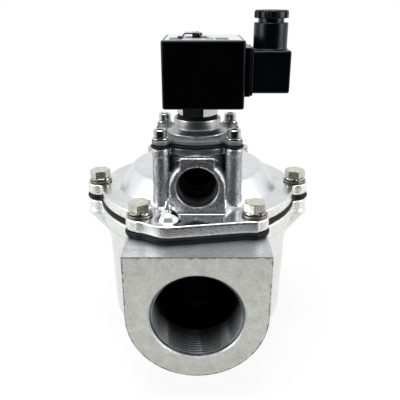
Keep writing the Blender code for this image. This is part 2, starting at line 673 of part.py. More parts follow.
def make_main_piston():
    """Disc, plate, hub bolt and nut that clamp the middle of the main diaphragm."""
    hub = HUB_RADIUS + SLIDE_GAP
    disc_top = DIAPHRAGM_BOTTOM - SEAT_GAP
    disc = turned("main_lower_disc", [
        (LOWER_DISC_RADIUS, disc_top), (LOWER_DISC_RADIUS, disc_top - LOWER_DISC_THICKNESS / 2),
        (LOWER_DISC_RADIUS - LOWER_DISC_THICKNESS / 2, disc_top - LOWER_DISC_THICKNESS),
        (hub, disc_top - LOWER_DISC_THICKNESS), (hub, disc_top)])
    finish(disc, STEEL, MAIN_PISTON)
    plate_bottom = DIAPHRAGM_BOTTOM + DIAPHRAGM_SHEET + SEAT_GAP
    plate_top = plate_bottom + UPPER_PLATE_THICKNESS
    rim = DIAPHRAGM_PLATE_RADIUS - OVERLAP
    upper = turned("main_upper_plate", [
        (rim - UPPER_PLATE_THICKNESS, plate_top),
        (rim - UPPER_PLATE_THICKNESS / 2, plate_top + UPPER_PLATE_LIP),
        (rim, plate_top + UPPER_PLATE_LIP), (rim - UPPER_PLATE_LIP, plate_bottom),
        (hub, plate_bottom), (hub, plate_top)], INNER_ROUND)
    finish(upper, STEEL, MAIN_PISTON)
    head_top = disc_top - LOWER_DISC_THICKNESS - SEAT_GAP
    nut_bottom = plate_top + SEAT_GAP
    nut_top = nut_bottom + HUB_NUT_THICKNESS
    bolt = turned("main_hub_bolt", [
        (0.0, nut_top), (HUB_RADIUS, nut_top), (HUB_RADIUS, head_top), (HUB_HEAD_RADIUS, head_top),
        (HUB_HEAD_RADIUS - HUB_HEAD_THICKNESS / 2, head_top - HUB_HEAD_THICKNESS),
        (0.0, head_top - HUB_HEAD_THICKNESS)], SMALL_ROUND, closed=False)
    finish(bolt, STEEL, MAIN_PISTON)
    nut = prism("main_hub_nut", HUB_NUT_FLATS, nut_bottom, nut_top)
    bore = rod("nut_bore", hub, nut_bottom - PAST, nut_top + PAST)
    finish(cut(nut, bore), STEEL, MAIN_PISTON)
    spring = wire_spring("main_spring", MAIN_SPRING_RADIUS, MAIN_SPRING_WIRE, MAIN_SPRING_TURNS,
                         plate_top + SEAT_GAP, BONNET_BOTTOM + CAVITY_ROOF_HEIGHT - SEAT_GAP, 10)
    finish(spring, STEEL, MAIN_PISTON)


def make_bonnet():
    """The bonnet casting: flange, dome, pilot tower with its exhaust port, bleed hump."""
    base, inside = BONNET_BOTTOM, FLANGE_TOP - OVERLAP
    bonnet = plate("bonnet", flange_outline(), base, FLANGE_TOP)
    slope = (DOME_BASE_RADIUS - DOME_TOP_RADIUS) / (DOME_HEIGHT - BONNET_FLANGE_THICKNESS)
    dome_top = base + DOME_HEIGHT
    dome = turned("dome", [
        (0.0, dome_top), (DOME_TOP_RADIUS - DOME_SHOULDER, dome_top),
        (DOME_TOP_RADIUS - DOME_SHOULDER * 0.25, dome_top - DOME_SHOULDER * 0.25),
        (DOME_TOP_RADIUS + slope * DOME_SHOULDER, dome_top - DOME_SHOULDER),
        (DOME_BASE_RADIUS + slope * OVERLAP, inside), (0.0, inside)], LARGE_ROUND, closed=False)
    tower = rod("tower", TOWER_RADIUS, inside, TOWER_TOP - OVERLAP, LARGE_ROUND)
    place(tower, y=-PILOT_OFFSET)
    rim = plate("tower_rim", pilot_outline(), TOWER_TOP - TOWER_RIM_THICKNESS, TOWER_TOP)
    place(rim, y=-PILOT_OFFSET)
    columns = at_places(lambda: rod("columns", COLUMN_TOP_RADIUS, inside, TOWER_TOP - OVERLAP,
                                    SMALL_ROUND + 2, COLUMN_FOOT_RADIUS), SCREW_PLACES)
    place(columns, y=-PILOT_OFFSET)
    boss = plate("port_boss", [(x, z - PORT_AXIS) for x, z in
                               arch_outline(PORT_BOSS_RADIUS, inside, PORT_AXIS)],
                 PILOT_OFFSET + PILOT_CHAMBER_RADIUS / 2, PORT_REACH)
    place(boss, z=PORT_AXIS, turn="front")
    tab = block("port_tab", (-PORT_TAB_HALF_WIDTH, -PORT_REACH + FACE_INSET, PORT_AXIS),
                (PORT_TAB_HALF_WIDTH, -PORT_REACH + PORT_TAB_THICKNESS, base + PORT_TAB_HEIGHT))
    hump = turned("bleed_hump", [
        (BLEED_HUMP_RADIUS * math.sin(a), BLEED_HUMP_HEIGHT * math.cos(a))
        for a in (math.pi * i / 6 for i in range(7))], SMALL_ROUND, closed=False)
    place(hump, *BLEED_HUMP_PLACE, FLANGE_TOP)
    ridge = rod("bleed_ridge", BLEED_RIDGE_RADIUS * 0.6,
                PILOT_OFFSET + PILOT_CHAMBER_RADIUS, -BLEED_HUMP_PLACE[1], 16, BLEED_RIDGE_RADIUS)
    place(ridge, x=BLEED_HUMP_PLACE[0], z=FLANGE_TOP + BLEED_HUMP_HEIGHT / 2, turn="front")
    bonnet = join(bonnet, dome, tower, columns, rim, boss, tab, hump, ridge)

    cavity = turned("cavity", [
        (0.0, base + CAVITY_ROOF_HEIGHT), (CAVITY_ROOF_RADIUS, base + CAVITY_ROOF_HEIGHT),
        (CAVITY_STEP_RADIUS, base + CAVITY_STEP_HEIGHT), (CAVITY_RADIUS, base + CAVITY_WALL_HEIGHT),
        (CAVITY_RADIUS, base - PAST), (0.0, base - PAST)], LARGE_ROUND, closed=False)
    chamber = ring("pilot_chamber", PILOT_CHAMBER_RADIUS, PILOT_SEAT_RADIUS + PILOT_SEAT_WALL,
                   base + PILOT_CHAMBER_FLOOR, TOWER_TOP + PAST)
    place(chamber, y=-PILOT_OFFSET)
    seat_bore = rod("seat_bore", PILOT_SEAT_RADIUS, base + CAVITY_ROOF_HEIGHT - PAST,
                    TOWER_TOP + PAST, INNER_ROUND)
    place(seat_bore, y=-PILOT_OFFSET)
    port = port_cutter("port_bore", PORT_THREAD_RADIUS, PORT_THREAD_DEPTH, PORT_CHAMFER,
                       PORT_REACH, PORT_THREAD_RADIUS / 2,
                       PORT_REACH - PORT_THREAD_DEPTH - 2 * OVERLAP)
    place(port, z=PORT_AXIS, turn="front")
    passage = rod("port_passage", PORT_PASSAGE_RADIUS, PILOT_OFFSET + PILOT_SEAT_RADIUS
                  + PILOT_SEAT_WALL + OVERLAP, PORT_REACH - PORT_THREAD_DEPTH + OVERLAP, INNER_ROUND)
    place(passage, z=PORT_AXIS + PORT_PASSAGE_RISE, turn="front")
    bolt_holes = at_places(lambda: hole("bolt_holes", BOLT_RADIUS, BOLT_HOLE_CLEARANCE,
                                        base - PAST, FLANGE_TOP + PAST), BOLT_PLACES)
    screw_holes = at_places(lambda: hole("screw_holes", SCREW_RADIUS, SLIDE_GAP,
                                         TOWER_TOP - SCREW_GRIP - OVERLAP, TOWER_TOP + PAST),
                            SCREW_PLACES)
    place(screw_holes, y=-PILOT_OFFSET)
    bonnet = cut(bonnet, cavity, chamber, seat_bore, port, passage, bolt_holes, screw_holes)
    return finish(bonnet, CAST, VALVE_AXIS)


def make_bonnet_bolts():
    """Six hexagon bolts, each with a split spring washer and a flat washer."""
    flat_bottom = FLANGE_TOP + SEAT_GAP
    spring_bottom = flat_bottom + FLAT_WASHER_THICKNESS + SEAT_GAP
    head_bottom = spring_bottom + SPRING_WASHER_THICKNESS + SEAT_GAP
    head_top = head_bottom + BOLT_HEAD_THICKNESS
    shank_bottom = BODY_HEIGHT - BOLT_GRIP_IN_BODY
    inner = BOLT_RADIUS + SLIDE_GAP

    head = prism("bolt", BOLT_HEAD_FLATS, head_bottom, head_top + PAST)
    crown_radius = BOLT_HEAD_FLATS / 2 / math.cos(math.pi / 6)
    chamfer = turned("crown", [
        (0.0, head_top), (BOLT_HEAD_FLATS / 2 - BOLT_CHAMFER, head_top),
        (crown_radius + BOLT_CHAMFER, head_top - 2 * BOLT_CHAMFER),
        (crown_radius + BOLT_CHAMFER, head_bottom - PAST), (0.0, head_bottom - PAST)],
        SMALL_ROUND + 2, closed=False)
    head = combine(head, (chamfer,), "INTERSECT")
    shank = rod("shank", BOLT_RADIUS, shank_bottom, head_bottom + OVERLAP)
    bolt = join(head, shank)
    flat = ring("flat", FLAT_WASHER_RADIUS, inner, flat_bottom,
                flat_bottom + FLAT_WASHER_THICKNESS, SMALL_ROUND + 2)
    split = ring("split", SPRING_WASHER_RADIUS, inner, spring_bottom,
                 spring_bottom + SPRING_WASHER_THICKNESS, SMALL_ROUND + 2)
    slot = block("slot", (0.0, -SPRING_WASHER_SLOT / 2, spring_bottom - PAST),
                 (SPRING_WASHER_RADIUS + PAST, SPRING_WASHER_SLOT / 2,
                  spring_bottom + SPRING_WASHER_THICKNESS + PAST))
    split = cut(split, slot)
    for number, (x, y) in enumerate(BOLT_PLACES, start=1):
        turn = math.radians(BOLT_TURN * number)
        copy_to(bolt, "bonnet_bolt_%d" % number, ZINC, VALVE_AXIS, (x, y, 0.0), turn)
        copy_to(split, "bonnet_spring_washer_%d" % number, ZINC, VALVE_AXIS, (x, y, 0.0), 3 * turn)
        copy_to(flat, "bonnet_flat_washer_%d" % number, ZINC, VALVE_AXIS, (x, y, 0.0), 0.0)
    for pattern in (bolt, flat, split):
        bpy.data.objects.remove(pattern, do_unlink=True)


def make_pilot_diaphragm():
    """The small rubber sheet between tower and cover, with its plates, rivet and spring."""
    bottom, top = PILOT_RUBBER_BOTTOM, PILOT_RUBBER_BOTTOM + PILOT_RUBBER
    rim = plate("pilot_diaphragm", pilot_outline(PILOT_OVERHANG), bottom, top)
    free = PILOT_CHAMBER_RADIUS - OVERLAP
    eye = rod("eye", free, bottom - PAST, top + PAST, INNER_ROUND)
    holes = at_places(lambda: hole("holes", SCREW_RADIUS, SLIDE_GAP, bottom - PAST, top + PAST),
                      SCREW_PLACES)
    rim = cut(rim, eye, holes)
    start = PILOT_PLATE_RADIUS
    end = free - OVERLAP / 2
    fold = [(end + (start - end) * i / 3, PILOT_FOLD_HEIGHT * math.sin(math.pi * i / 3))
            for i in range(4)]
    eyelet = PILOT_RIVET_RADIUS + SLIDE_GAP
    inset = PILOT_SHEET_INSET
    sheet = turned("sheet", [
        (eyelet, top - inset), *[(r, top - inset + h) for r, h in reversed(fold)],
        (free + OVERLAP, top - inset), (free + OVERLAP, bottom + inset),
        *[(r, bottom + inset + h) for r, h in fold], (eyelet, bottom + inset)], INNER_ROUND)
    finish(join(rim, sheet), RUBBER, PILOT_AXIS)

    lower_top = bottom + inset - SEAT_GAP
    lower = ring("pilot_lower_plate", PILOT_SEAT_RADIUS - OVERLAP / 2, eyelet,
                 lower_top - PILOT_PLATE_THICKNESS, lower_top, INNER_ROUND)
    finish(lower, STEEL, PILOT_PISTON)
    upper_bottom = top - inset + SEAT_GAP
    upper_top = upper_bottom + PILOT_PLATE_THICKNESS
    upper = ring("pilot_upper_plate", PILOT_PLATE_RADIUS - OVERLAP / 2, eyelet, upper_bottom,
                 upper_top, INNER_ROUND)
    finish(upper, STEEL, PILOT_PISTON)
    head_low = lower_top - PILOT_PLATE_THICKNESS - SEAT_GAP
    head_high = upper_top + SEAT_GAP
    rivet = turned("pilot_rivet", [
        (0.0, head_high + PILOT_RIVET_HEAD), (PILOT_RIVET_HEAD_RADIUS * 0.7, head_high + PILOT_RIVET_HEAD),
        (PILOT_RIVET_HEAD_RADIUS, head_high), (PILOT_RIVET_RADIUS, head_high),
        (PILOT_RIVET_RADIUS, head_low), (PILOT_RIVET_HEAD_RADIUS, head_low),
        (PILOT_RIVET_HEAD_RADIUS * 0.7, head_low - PILOT_RIVET_HEAD),
        (0.0, head_low - PILOT_RIVET_HEAD)], HOLE_ROUND, closed=False)
    finish(rivet, STEEL, PILOT_PISTON)
    spring = wire_spring("pilot_spring", PILOT_SPRING_RADIUS, PILOT_SPRING_WIRE,
                         PILOT_SPRING_TURNS, upper_top + SEAT_GAP,
                         COVER_BOTTOM + SPRING_POCKET_HEIGHT - SEAT_GAP, 10)
    finish(spring, STEEL, PILOT_PISTON)


def make_pilot_cover():
    """The cover: lobed flange, cone and turret, with the pilot nozzle inside."""
    base = COVER_BOTTOM
    cover = plate("pilot_cover", pilot_outline(), base, base + COVER_FLANGE)
    inside = base + COVER_FLANGE / 2
    top = TURRET_TOP
    turret = turned("turret", [
        (0.0, top), (TURRET_RADIUS - TURRET_CHAMFER, top), (TURRET_RADIUS, top - TURRET_CHAMFER),
        (TURRET_RADIUS, base + COVER_CONE_HEIGHT), (COVER_RING_RADIUS, base + COVER_RING_HEIGHT),
        (COVER_RING_RADIUS, inside), (0.0, inside)], MEDIUM_ROUND + 8, closed=False)
    cover = join(cover, turret)
    cavity = turned("cover_cavity", [
        (0.0, base + SPRING_POCKET_HEIGHT), (SPRING_POCKET_RADIUS, base + SPRING_POCKET_HEIGHT),
        (SPRING_POCKET_RADIUS, base + COVER_CAVITY_HEIGHT),
        (PILOT_PLATE_RADIUS + OVERLAP, base + COVER_CAVITY_HEIGHT),
        (COVER_CAVITY_RADIUS, base + COVER_FLANGE / 2), (COVER_CAVITY_RADIUS, base - PAST),
        (0.0, base - PAST)], INNER_ROUND, closed=False)
    floor = base + TURRET_BORE_FLOOR
    bore = ring("turret_bore", TURRET_BORE_RADIUS, NOZZLE_RADIUS, floor, top + PAST)
    above_nozzle = rod("above_nozzle", NOZZLE_RADIUS + OVERLAP, floor + NOZZLE_HEIGHT, top + 2 * PAST)
    nozzle_hole = rod("nozzle_hole", NOZZLE_HOLE_RADIUS, base + COVER_CAVITY_HEIGHT,
                      floor + 2 * NOZZLE_HEIGHT)
    vent = rod("vent", NOZZLE_HOLE_RADIUS, base + COVER_CAVITY_HEIGHT / 2, floor + OVERLAP)
    place(vent, x=TURRET_BORE_RADIUS - OVERLAP)
    holes = at_places(lambda: hole("holes", SCREW_RADIUS, SLIDE_GAP, base - PAST,
                                   base + COVER_FLANGE + PAST), SCREW_PLACES)
    cover = cut(cover, cavity, bore, above_nozzle, nozzle_hole, vent, holes)
    finish(cover, CAST, PILOT_AXIS)


def make_pilot_screws():
    """Four socket head screws with washers on the pilot cover."""
    washer_bottom = COVER_BOTTOM + COVER_FLANGE + SEAT_GAP
    head_bottom = washer_bottom + SCREW_WASHER_THICKNESS + SEAT_GAP
    head_top = head_bottom + SCREW_HEAD_HEIGHT
    shank_bottom = TOWER_TOP - SCREW_GRIP
    rounding = SCREW_HEAD_HEIGHT / 10
    screw = turned("screw", [
        (0.0, head_top), (SCREW_HEAD_RADIUS - rounding, head_top), (SCREW_HEAD_RADIUS, head_top - rounding),
        (SCREW_HEAD_RADIUS, head_bottom), (SCREW_RADIUS, head_bottom), (SCREW_RADIUS, shank_bottom),
        (0.0, shank_bottom)], SMALL_ROUND + 2, closed=False)
    socket = prism("socket", SCREW_SOCKET_FLATS, head_top - SCREW_SOCKET_DEPTH, head_top + PAST)
    screw = cut(screw, socket)
    washer = ring("washer", SCREW_WASHER_RADIUS, SCREW_RADIUS + SLIDE_GAP, washer_bottom,
                  washer_bottom + SCREW_WASHER_THICKNESS, SMALL_ROUND + 2)
    for number, (x, y) in enumerate(SCREW_PLACES, start=1):
        copy_to(screw, "pilot_screw_%d" % number, ZINC, PILOT_AXIS, (x, y, 0.0),
                math.radians(SCREW_TURN * number))
        copy_to(washer, "pilot_washer_%d" % number, ZINC, PILOT_AXIS, (x, y, 0.0), 0.0)
    bpy.data.objects.remove(screw, do_unlink=True)
    bpy.data.objects.remove(washer, do_unlink=True)


def make_core_tube():
    """Core tube with its hexagon base, the core inside it, and their seals."""
    seal = ring("tube_seal", TUBE_SEAL_RADIUS, TURRET_BORE_RADIUS, TURRET_TOP + SEAT_GAP,
                TURRET_TOP + SEAT_GAP + TUBE_SEAL_THICKNESS)
    finish(seal, RUBBER, PILOT_AXIS)

    spigot_bottom = TURRET_TOP - SPIGOT_LENGTH
    tube_top = COIL_TOP
    nozzle_top = COVER_BOTTOM + TURRET_BORE_FLOOR + NOZZLE_HEIGHT
    disc_bottom = nozzle_top + SEAT_GAP
    core_bottom = disc_bottom + SEAT_DISC_STANDS_OUT
    core_top = core_bottom + CORE_LENGTH
    stop = core_top + CORE_STROKE + SEAT_GAP
    spigot = TURRET_BORE_RADIUS - SLIDE_GAP
    bore = CORE_RADIUS + SLIDE_GAP
    tube = turned("core_tube", [
        (0.0, tube_top + TUBE_STUD_HEIGHT), (TUBE_STUD_RADIUS, tube_top + TUBE_STUD_HEIGHT),
        (TUBE_STUD_RADIUS, tube_top), (TUBE_RADIUS, tube_top), (TUBE_RADIUS, HEX_TOP - OVERLAP),
        (spigot, HEX_BOTTOM + OVERLAP), (spigot, spigot_bottom), (bore, spigot_bottom),
        (bore, stop), (0.0, stop)], INNER_ROUND, closed=False)
    hexagon = prism("hexagon", HEX_FLATS, HEX_BOTTOM, HEX_TOP, -HEX_TURN)
    middle = rod("middle", TUBE_RADIUS - SLIDE_GAP, HEX_BOTTOM - PAST, HEX_TOP + PAST)
    tube = join(tube, cut(hexagon, middle))
    finish(tube, STEEL, PILOT_AXIS)

    core = turned("core", [
        (CORE_RADIUS, core_top), (CORE_RADIUS, core_bottom), (SEAT_DISC_RADIUS + SLIDE_GAP, core_bottom),
        (SEAT_DISC_RADIUS + SLIDE_GAP, disc_bottom + SEAT_DISC_THICKNESS + SEAT_GAP),
        (0.0, disc_bottom + SEAT_DISC_THICKNESS + SEAT_GAP),
        (0.0, core_top - CORE_POCKET_DEPTH), (CORE_POCKET_RADIUS, core_top - CORE_POCKET_DEPTH),
        (CORE_POCKET_RADIUS, core_top)], INNER_ROUND)
    finish(core, STEEL, CORE_AXIS)
    disc = rod("core_seat_disc", SEAT_DISC_RADIUS, disc_bottom, disc_bottom + SEAT_DISC_THICKNESS)
    finish(disc, RUBBER, CORE_AXIS)
    spring = wire_spring("core_spring", CORE_SPRING_RADIUS, CORE_SPRING_WIRE, CORE_SPRING_TURNS,
                         core_top - CORE_POCKET_DEPTH + SEAT_GAP, stop - SEAT_GAP, 8)
    finish(spring, STEEL, CORE_AXIS)


def make_coil():
    """The moulded coil with its plug socket, name plate and retaining clip."""
    low = (COIL_SHIFT - COIL_WIDTH / 2, -COIL_DEPTH / 2, COIL_BOTTOM)
    high = (COIL_SHIFT + COIL_WIDTH / 2, COIL_DEPTH / 2, COIL_TOP)
    coil = block("coil", low, high, COIL_EDGE, 2, COIL_CORNER)
    socket = block("socket", (high[0] - 2 * OVERLAP, -SOCKET_WIDTH / 2, COIL_BOTTOM + SOCKET_BOTTOM),
                   (SOCKET_FACE, SOCKET_WIDTH / 2, COIL_BOTTOM + SOCKET_BOTTOM + SOCKET_HEIGHT))
    coil = join(coil, socket)
    bore = rod("coil_bore", TUBE_RADIUS + SLIDE_GAP, COIL_BOTTOM - PAST, COIL_TOP + PAST, INNER_ROUND)
    margin = SLIDE_GAP
    left = COIL_SHIFT - NAMEPLATE_WIDTH / 2
    right = COIL_SHIFT + NAMEPLATE_WIDTH / 2
    sink = block("plate_sink", (left - margin, -NAMEPLATE_DEPTH / 2 - margin, COIL_TOP - NAMEPLATE_SINK),
                 (right + margin, NAMEPLATE_DEPTH / 2 + margin, COIL_TOP + PAST))
    thread = rod("screw_hole", PLUG_SCREW_RADIUS + SLIDE_GAP, SOCKET_FACE - PLUG_SCREW_GRIP - OVERLAP,
                 SOCKET_FACE + PAST)
    place(thread, z=SOCKET_MIDDLE, turn="side")
    coil = cut(coil, bore, sink, thread)
    finish(coil, BLACK_PLASTIC, COIL_AXIS)

    plate_bottom = COIL_TOP - NAMEPLATE_SINK + SEAT_GAP
    name_plate = block("coil_nameplate", (left, -NAMEPLATE_DEPTH / 2, plate_bottom),
                       (right, NAMEPLATE_DEPTH / 2, plate_bottom + NAMEPLATE_THICKNESS))
    middle = rod("middle", TUBE_RADIUS + SLIDE_GAP, COIL_TOP - PAST, COIL_TOP + PAST, MEDIUM_ROUND)
    finish(cut(name_plate, middle), PLATE_METAL, COIL_AXIS)

    foot_bottom = plate_bottom + NAMEPLATE_THICKNESS + SEAT_GAP
    bridge = foot_bottom + CLIP_RISE
    start = -CLIP_SHIFT - CLIP_LENGTH / 2
    end = -CLIP_SHIFT + CLIP_LENGTH / 2
    lean = CLIP_RISE
    outline = [(start, foot_bottom), (start + CLIP_FOOT, foot_bottom), (start + CLIP_FOOT + lean, bridge),
               (end - CLIP_FOOT - lean, bridge), (end - CLIP_FOOT, foot_bottom), (end, foot_bottom)]
    outline += [(x, z + CLIP_SHEET) for x, z in reversed(outline)]
    clip = plate("retaining_clip", outline, -CLIP_WIDTH / 2, CLIP_WIDTH / 2)
    place(clip, turn="front")
    stud_hole = rod("stud_hole", TUBE_STUD_RADIUS + SLIDE_GAP, foot_bottom - PAST, bridge + PAST)
    finish(cut(clip, stud_hole), STEEL, PILOT_AXIS)


def make_connector():
    """The plug on the coil's side, its gasket, insert and screw."""
    half_gasket = SOCKET_WIDTH / 2 - GASKET_MARGIN
    gasket = block("connector_gasket",
                   (GASKET_FACE, -half_gasket, SOCKET_MIDDLE - SOCKET_HEIGHT / 2 + GASKET_MARGIN),
                   (GASKET_FACE + GASKET_THICKNESS, half_gasket,
                    SOCKET_MIDDLE + SOCKET_HEIGHT / 2 - GASKET_MARGIN))
    window_half = PLUG_WIDTH / 2 - 2 * PLUG_WALL
    window = block("window", (GASKET_FACE - PAST, -window_half, SOCKET_MIDDLE - window_half),
                   (GASKET_FACE + PAST, window_half, SOCKET_MIDDLE + window_half))
    finish(cut(gasket, window), RUBBER, COIL_AXIS)

    bottom = SOCKET_MIDDLE - PLUG_HEIGHT / 2
    end = PLUG_FACE + PLUG_LENGTH
    housing = block("connector_housing", (PLUG_FACE, -PLUG_WIDTH / 2, bottom),
                    (end, PLUG_WIDTH / 2, PLUG_TOP), PLUG_EDGE, 3)
    sleeve_x = PLUG_FACE + SLEEVE_PLACE
    sleeve = rod("sleeve", SLEEVE_RADIUS, PLUG_TOP - PLUG_WALL, SLEEVE_TOP, MEDIUM_ROUND)
    place(sleeve, x=sleeve_x)
    housing = join(housing, sleeve)
    half = PLUG_WIDTH / 2 - PLUG_WALL
    cavity = block("plug_cavity", (PLUG_FACE - PAST, -half, bottom + PLUG_WALL),
                   (PLUG_FACE + PLUG_CAVITY_DEPTH, half, PLUG_TOP - PLUG_WALL))
    shoulder = SLEEVE_TOP - SLEEVE_BORE_DEPTH
    bore = rod("sleeve_bore", SLEEVE_BORE_RADIUS, shoulder, SLEEVE_TOP + PAST, INNER_ROUND)
    place(bore, x=sleeve_x)
    wires = rod("wire_hole", WIRE_HOLE_RADIUS, PLUG_TOP - 2 * PLUG_WALL, shoulder + OVERLAP)
    place(wires, x=sleeve_x)
    screw_way = turned("screw_way", [
        (0.0, end + PAST), (PLUG_SCREW_HEAD_RADIUS + SLIDE_GAP, end + PAST),
        (PLUG_SCREW_HEAD_RADIUS + SLIDE_GAP, end - PLUG_SCREW_HEAD_HEIGHT),
        (PLUG_SCREW_RADIUS + SLIDE_GAP, end - PLUG_SCREW_HEAD_HEIGHT),
        (PLUG_SCREW_RADIUS + SLIDE_GAP, PLUG_FACE), (0.0, PLUG_FACE)], SMALL_ROUND, closed=False)
    place(screw_way, z=SOCKET_MIDDLE, turn="side")
    housing = cut(housing, cavity, bore, wires, screw_way)
    finish(housing, BLACK_PLASTIC, COIL_AXIS)

    gap = SLIDE_GAP
    insert = block("connector_insert", (PLUG_FACE + gap, -half + gap, bottom + PLUG_WALL + gap),
                   (PLUG_FACE + INSERT_LENGTH, half - gap, bottom + PLUG_WALL + INSERT_HEIGHT))
    way = rod("way", PLUG_SCREW_RADIUS + SLIDE_GAP, PLUG_FACE - PAST, PLUG_FACE + INSERT_LENGTH + PAST)
    place(way, z=SOCKET_MIDDLE, turn="side")
    finish(cut(insert, way), GREY_PLASTIC, COIL_AXIS)

    head = end - PLUG_SCREW_HEAD_HEIGHT + SEAT_GAP
    screw = turned("connector_screw", [
        (0.0, head + PLUG_SCREW_HEAD_HEIGHT), (PLUG_SCREW_HEAD_RADIUS * 0.8, head + PLUG_SCREW_HEAD_HEIGHT),
        (PLUG_SCREW_HEAD_RADIUS, head + PLUG_SCREW_HEAD_HEIGHT * 0.6), (PLUG_SCREW_HEAD_RADIUS, head),
        (PLUG_SCREW_RADIUS, head), (PLUG_SCREW_RADIUS, SOCKET_FACE - PLUG_SCREW_GRIP),
        (0.0, SOCKET_FACE - PLUG_SCREW_GRIP)], SMALL_ROUND, closed=False)
    slot_depth = PLUG_SCREW_HEAD_HEIGHT / 2
    slot = block("slot", (-PLUG_SCREW_SLOT / 2, -PLUG_SCREW_HEAD_RADIUS - PAST,
                          head + PLUG_SCREW_HEAD_HEIGHT - slot_depth),
                 (PLUG_SCREW_SLOT / 2, PLUG_SCREW_HEAD_RADIUS + PAST,
                  head + PLUG_SCREW_HEAD_HEIGHT + PAST))
    screw = cut(screw, slot)
    place(screw, z=SOCKET_MIDDLE, turn="side")
    finish(screw, ZINC, COIL_AXIS)


def make_gland():
    """The cable gland: rubber seal, washer and ribbed nut in the plug's sleeve."""
    x = PLUG_FACE + SLEEVE_PLACE
    outer = SLEEVE_BORE_RADIUS - SLIDE_GAP
    seal_bottom = SLEEVE_TOP - SLEEVE_BORE_DEPTH + SEAT_GAP
    seal_top = seal_bottom + GLAND_SEAL_LENGTH
    seal = ring("gland_seal", outer, CABLE_HOLE_RADIUS, seal_bottom, seal_top, INNER_ROUND)
    finish(place(seal, x=x), RUBBER, COIL_AXIS)
    washer_bottom = seal_top + SEAT_GAP
    washer_top = washer_bottom + GLAND_WASHER_THICKNESS
    washer = ring("gland_washer", outer, CABLE_HOLE_RADIUS, washer_bottom, washer_top, INNER_ROUND)
    finish(place(washer, x=x), STEEL, COIL_AXIS)

    neck_bottom = SLEEVE_TOP + SEAT_GAP
    nut_bottom = neck_bottom + GLAND_NECK_HEIGHT
    nut_top = nut_bottom + GLAND_NUT_HEIGHT
    rounding = GLAND_NUT_HEIGHT / 5
    nut = turned("gland_nut", [
        (GLAND_NUT_RADIUS - rounding, nut_top), (GLAND_NUT_RADIUS, nut_top - rounding),
        (GLAND_NUT_RADIUS, nut_bottom), (GLAND_NECK_RADIUS, nut_bottom),
        (GLAND_NECK_RADIUS, neck_bottom), (outer, neck_bottom),
        (outer, washer_top + SEAT_GAP), (CABLE_HOLE_RADIUS, washer_top + SEAT_GAP),
        (CABLE_HOLE_RADIUS, nut_top)], 36)
    grooves = at_places(lambda: rod("grooves", GLAND_RIB_GROOVE, nut_bottom - GLAND_NECK_HEIGHT / 2,
                                    nut_top + PAST, 6),
                        circle_places(GLAND_NUT_RIBS, GLAND_NUT_RADIUS, math.pi / GLAND_NUT_RIBS))
    nut = cut(nut, grooves)
    finish(place(nut, x=x), BLACK_PLASTIC, COIL_AXIS)


def copy_to(pattern, name, material, parent, spot, turn):
    """A copy of a repeated piece that shares its mesh."""
    item = new_object(name, pattern.data)
    item.matrix_world = Matrix.Translation(spot) @ Matrix.Rotation(turn, 4, "Z")
    finish(item, material, parent)


def finish(item, material, parent):
    """Shade a piece, give it its material and move it to the valve's collection."""
    mesh = item.data
    mesh.shade_smooth()
    mesh.set_sharp_from_angle(angle=math.radians(SHARP_ANGLE))
    mesh.materials.clear()
    mesh.materials.append(material)
    CUTTERS.objects.unlink(item)
    VALVE.objects.link(item)
    item.parent = parent
    return item


def new_empty(name, parent=None, spot=(0.0, 0.0, 0.0)):
    empty = bpy.data.objects.new(name, None)
    VALVE.objects.link(empty)
    empty.parent = parent
    empty.location = spot
    return empty


clear_scene()
VALVE = new_collection("pulse_valve")
CUTTERS = new_collection("cutters")

CAST = new_material("cast_aluminium", (0.62, 0.63, 0.60), 0.45, 0.9)
RUBBER = new_material("black_rubber", (0.03, 0.03, 0.035), 0.6, 0.0)
ZINC = new_material("zinc_steel", (0.62, 0.58, 0.45), 0.35, 1.0)
STEEL = new_material("stainless_steel", (0.60, 0.60, 0.62), 0.3, 1.0)
BLACK_PLASTIC = new_material("black_plastic", (0.015, 0.015, 0.018), 0.45, 0.0)
GREY_PLASTIC = new_material("grey_plastic", (0.25, 0.25, 0.26), 0.5, 0.0)
PLATE_METAL = new_material("plate_metal", (0.75, 0.77, 0.76), 0.35, 0.6)

VALVE_AXIS = new_empty("valve_axis", None, (0.0, VALVE_AXIS_Y, 0.0))
MAIN_PISTON = new_empty("main_piston_axis", VALVE_AXIS)
PILOT_AXIS = new_empty("pilot_axis", VALVE_AXIS, (0.0, -PILOT_OFFSET, 0.0))
PILOT_PISTON = new_empty("pilot_piston_axis", PILOT_AXIS)
CORE_AXIS = new_empty("core_axis", PILOT_AXIS)
COIL_AXIS = new_empty("coil_axis", PILOT_AXIS)

make_body()
make_main_diaphragm()
make_main_piston()
make_bonnet()
make_bonnet_bolts()
make_pilot_diaphragm()
make_pilot_cover()
make_pilot_screws()
make_core_tube()
make_coil()
make_connector()
make_gland()
bpy.context.view_layer.update()
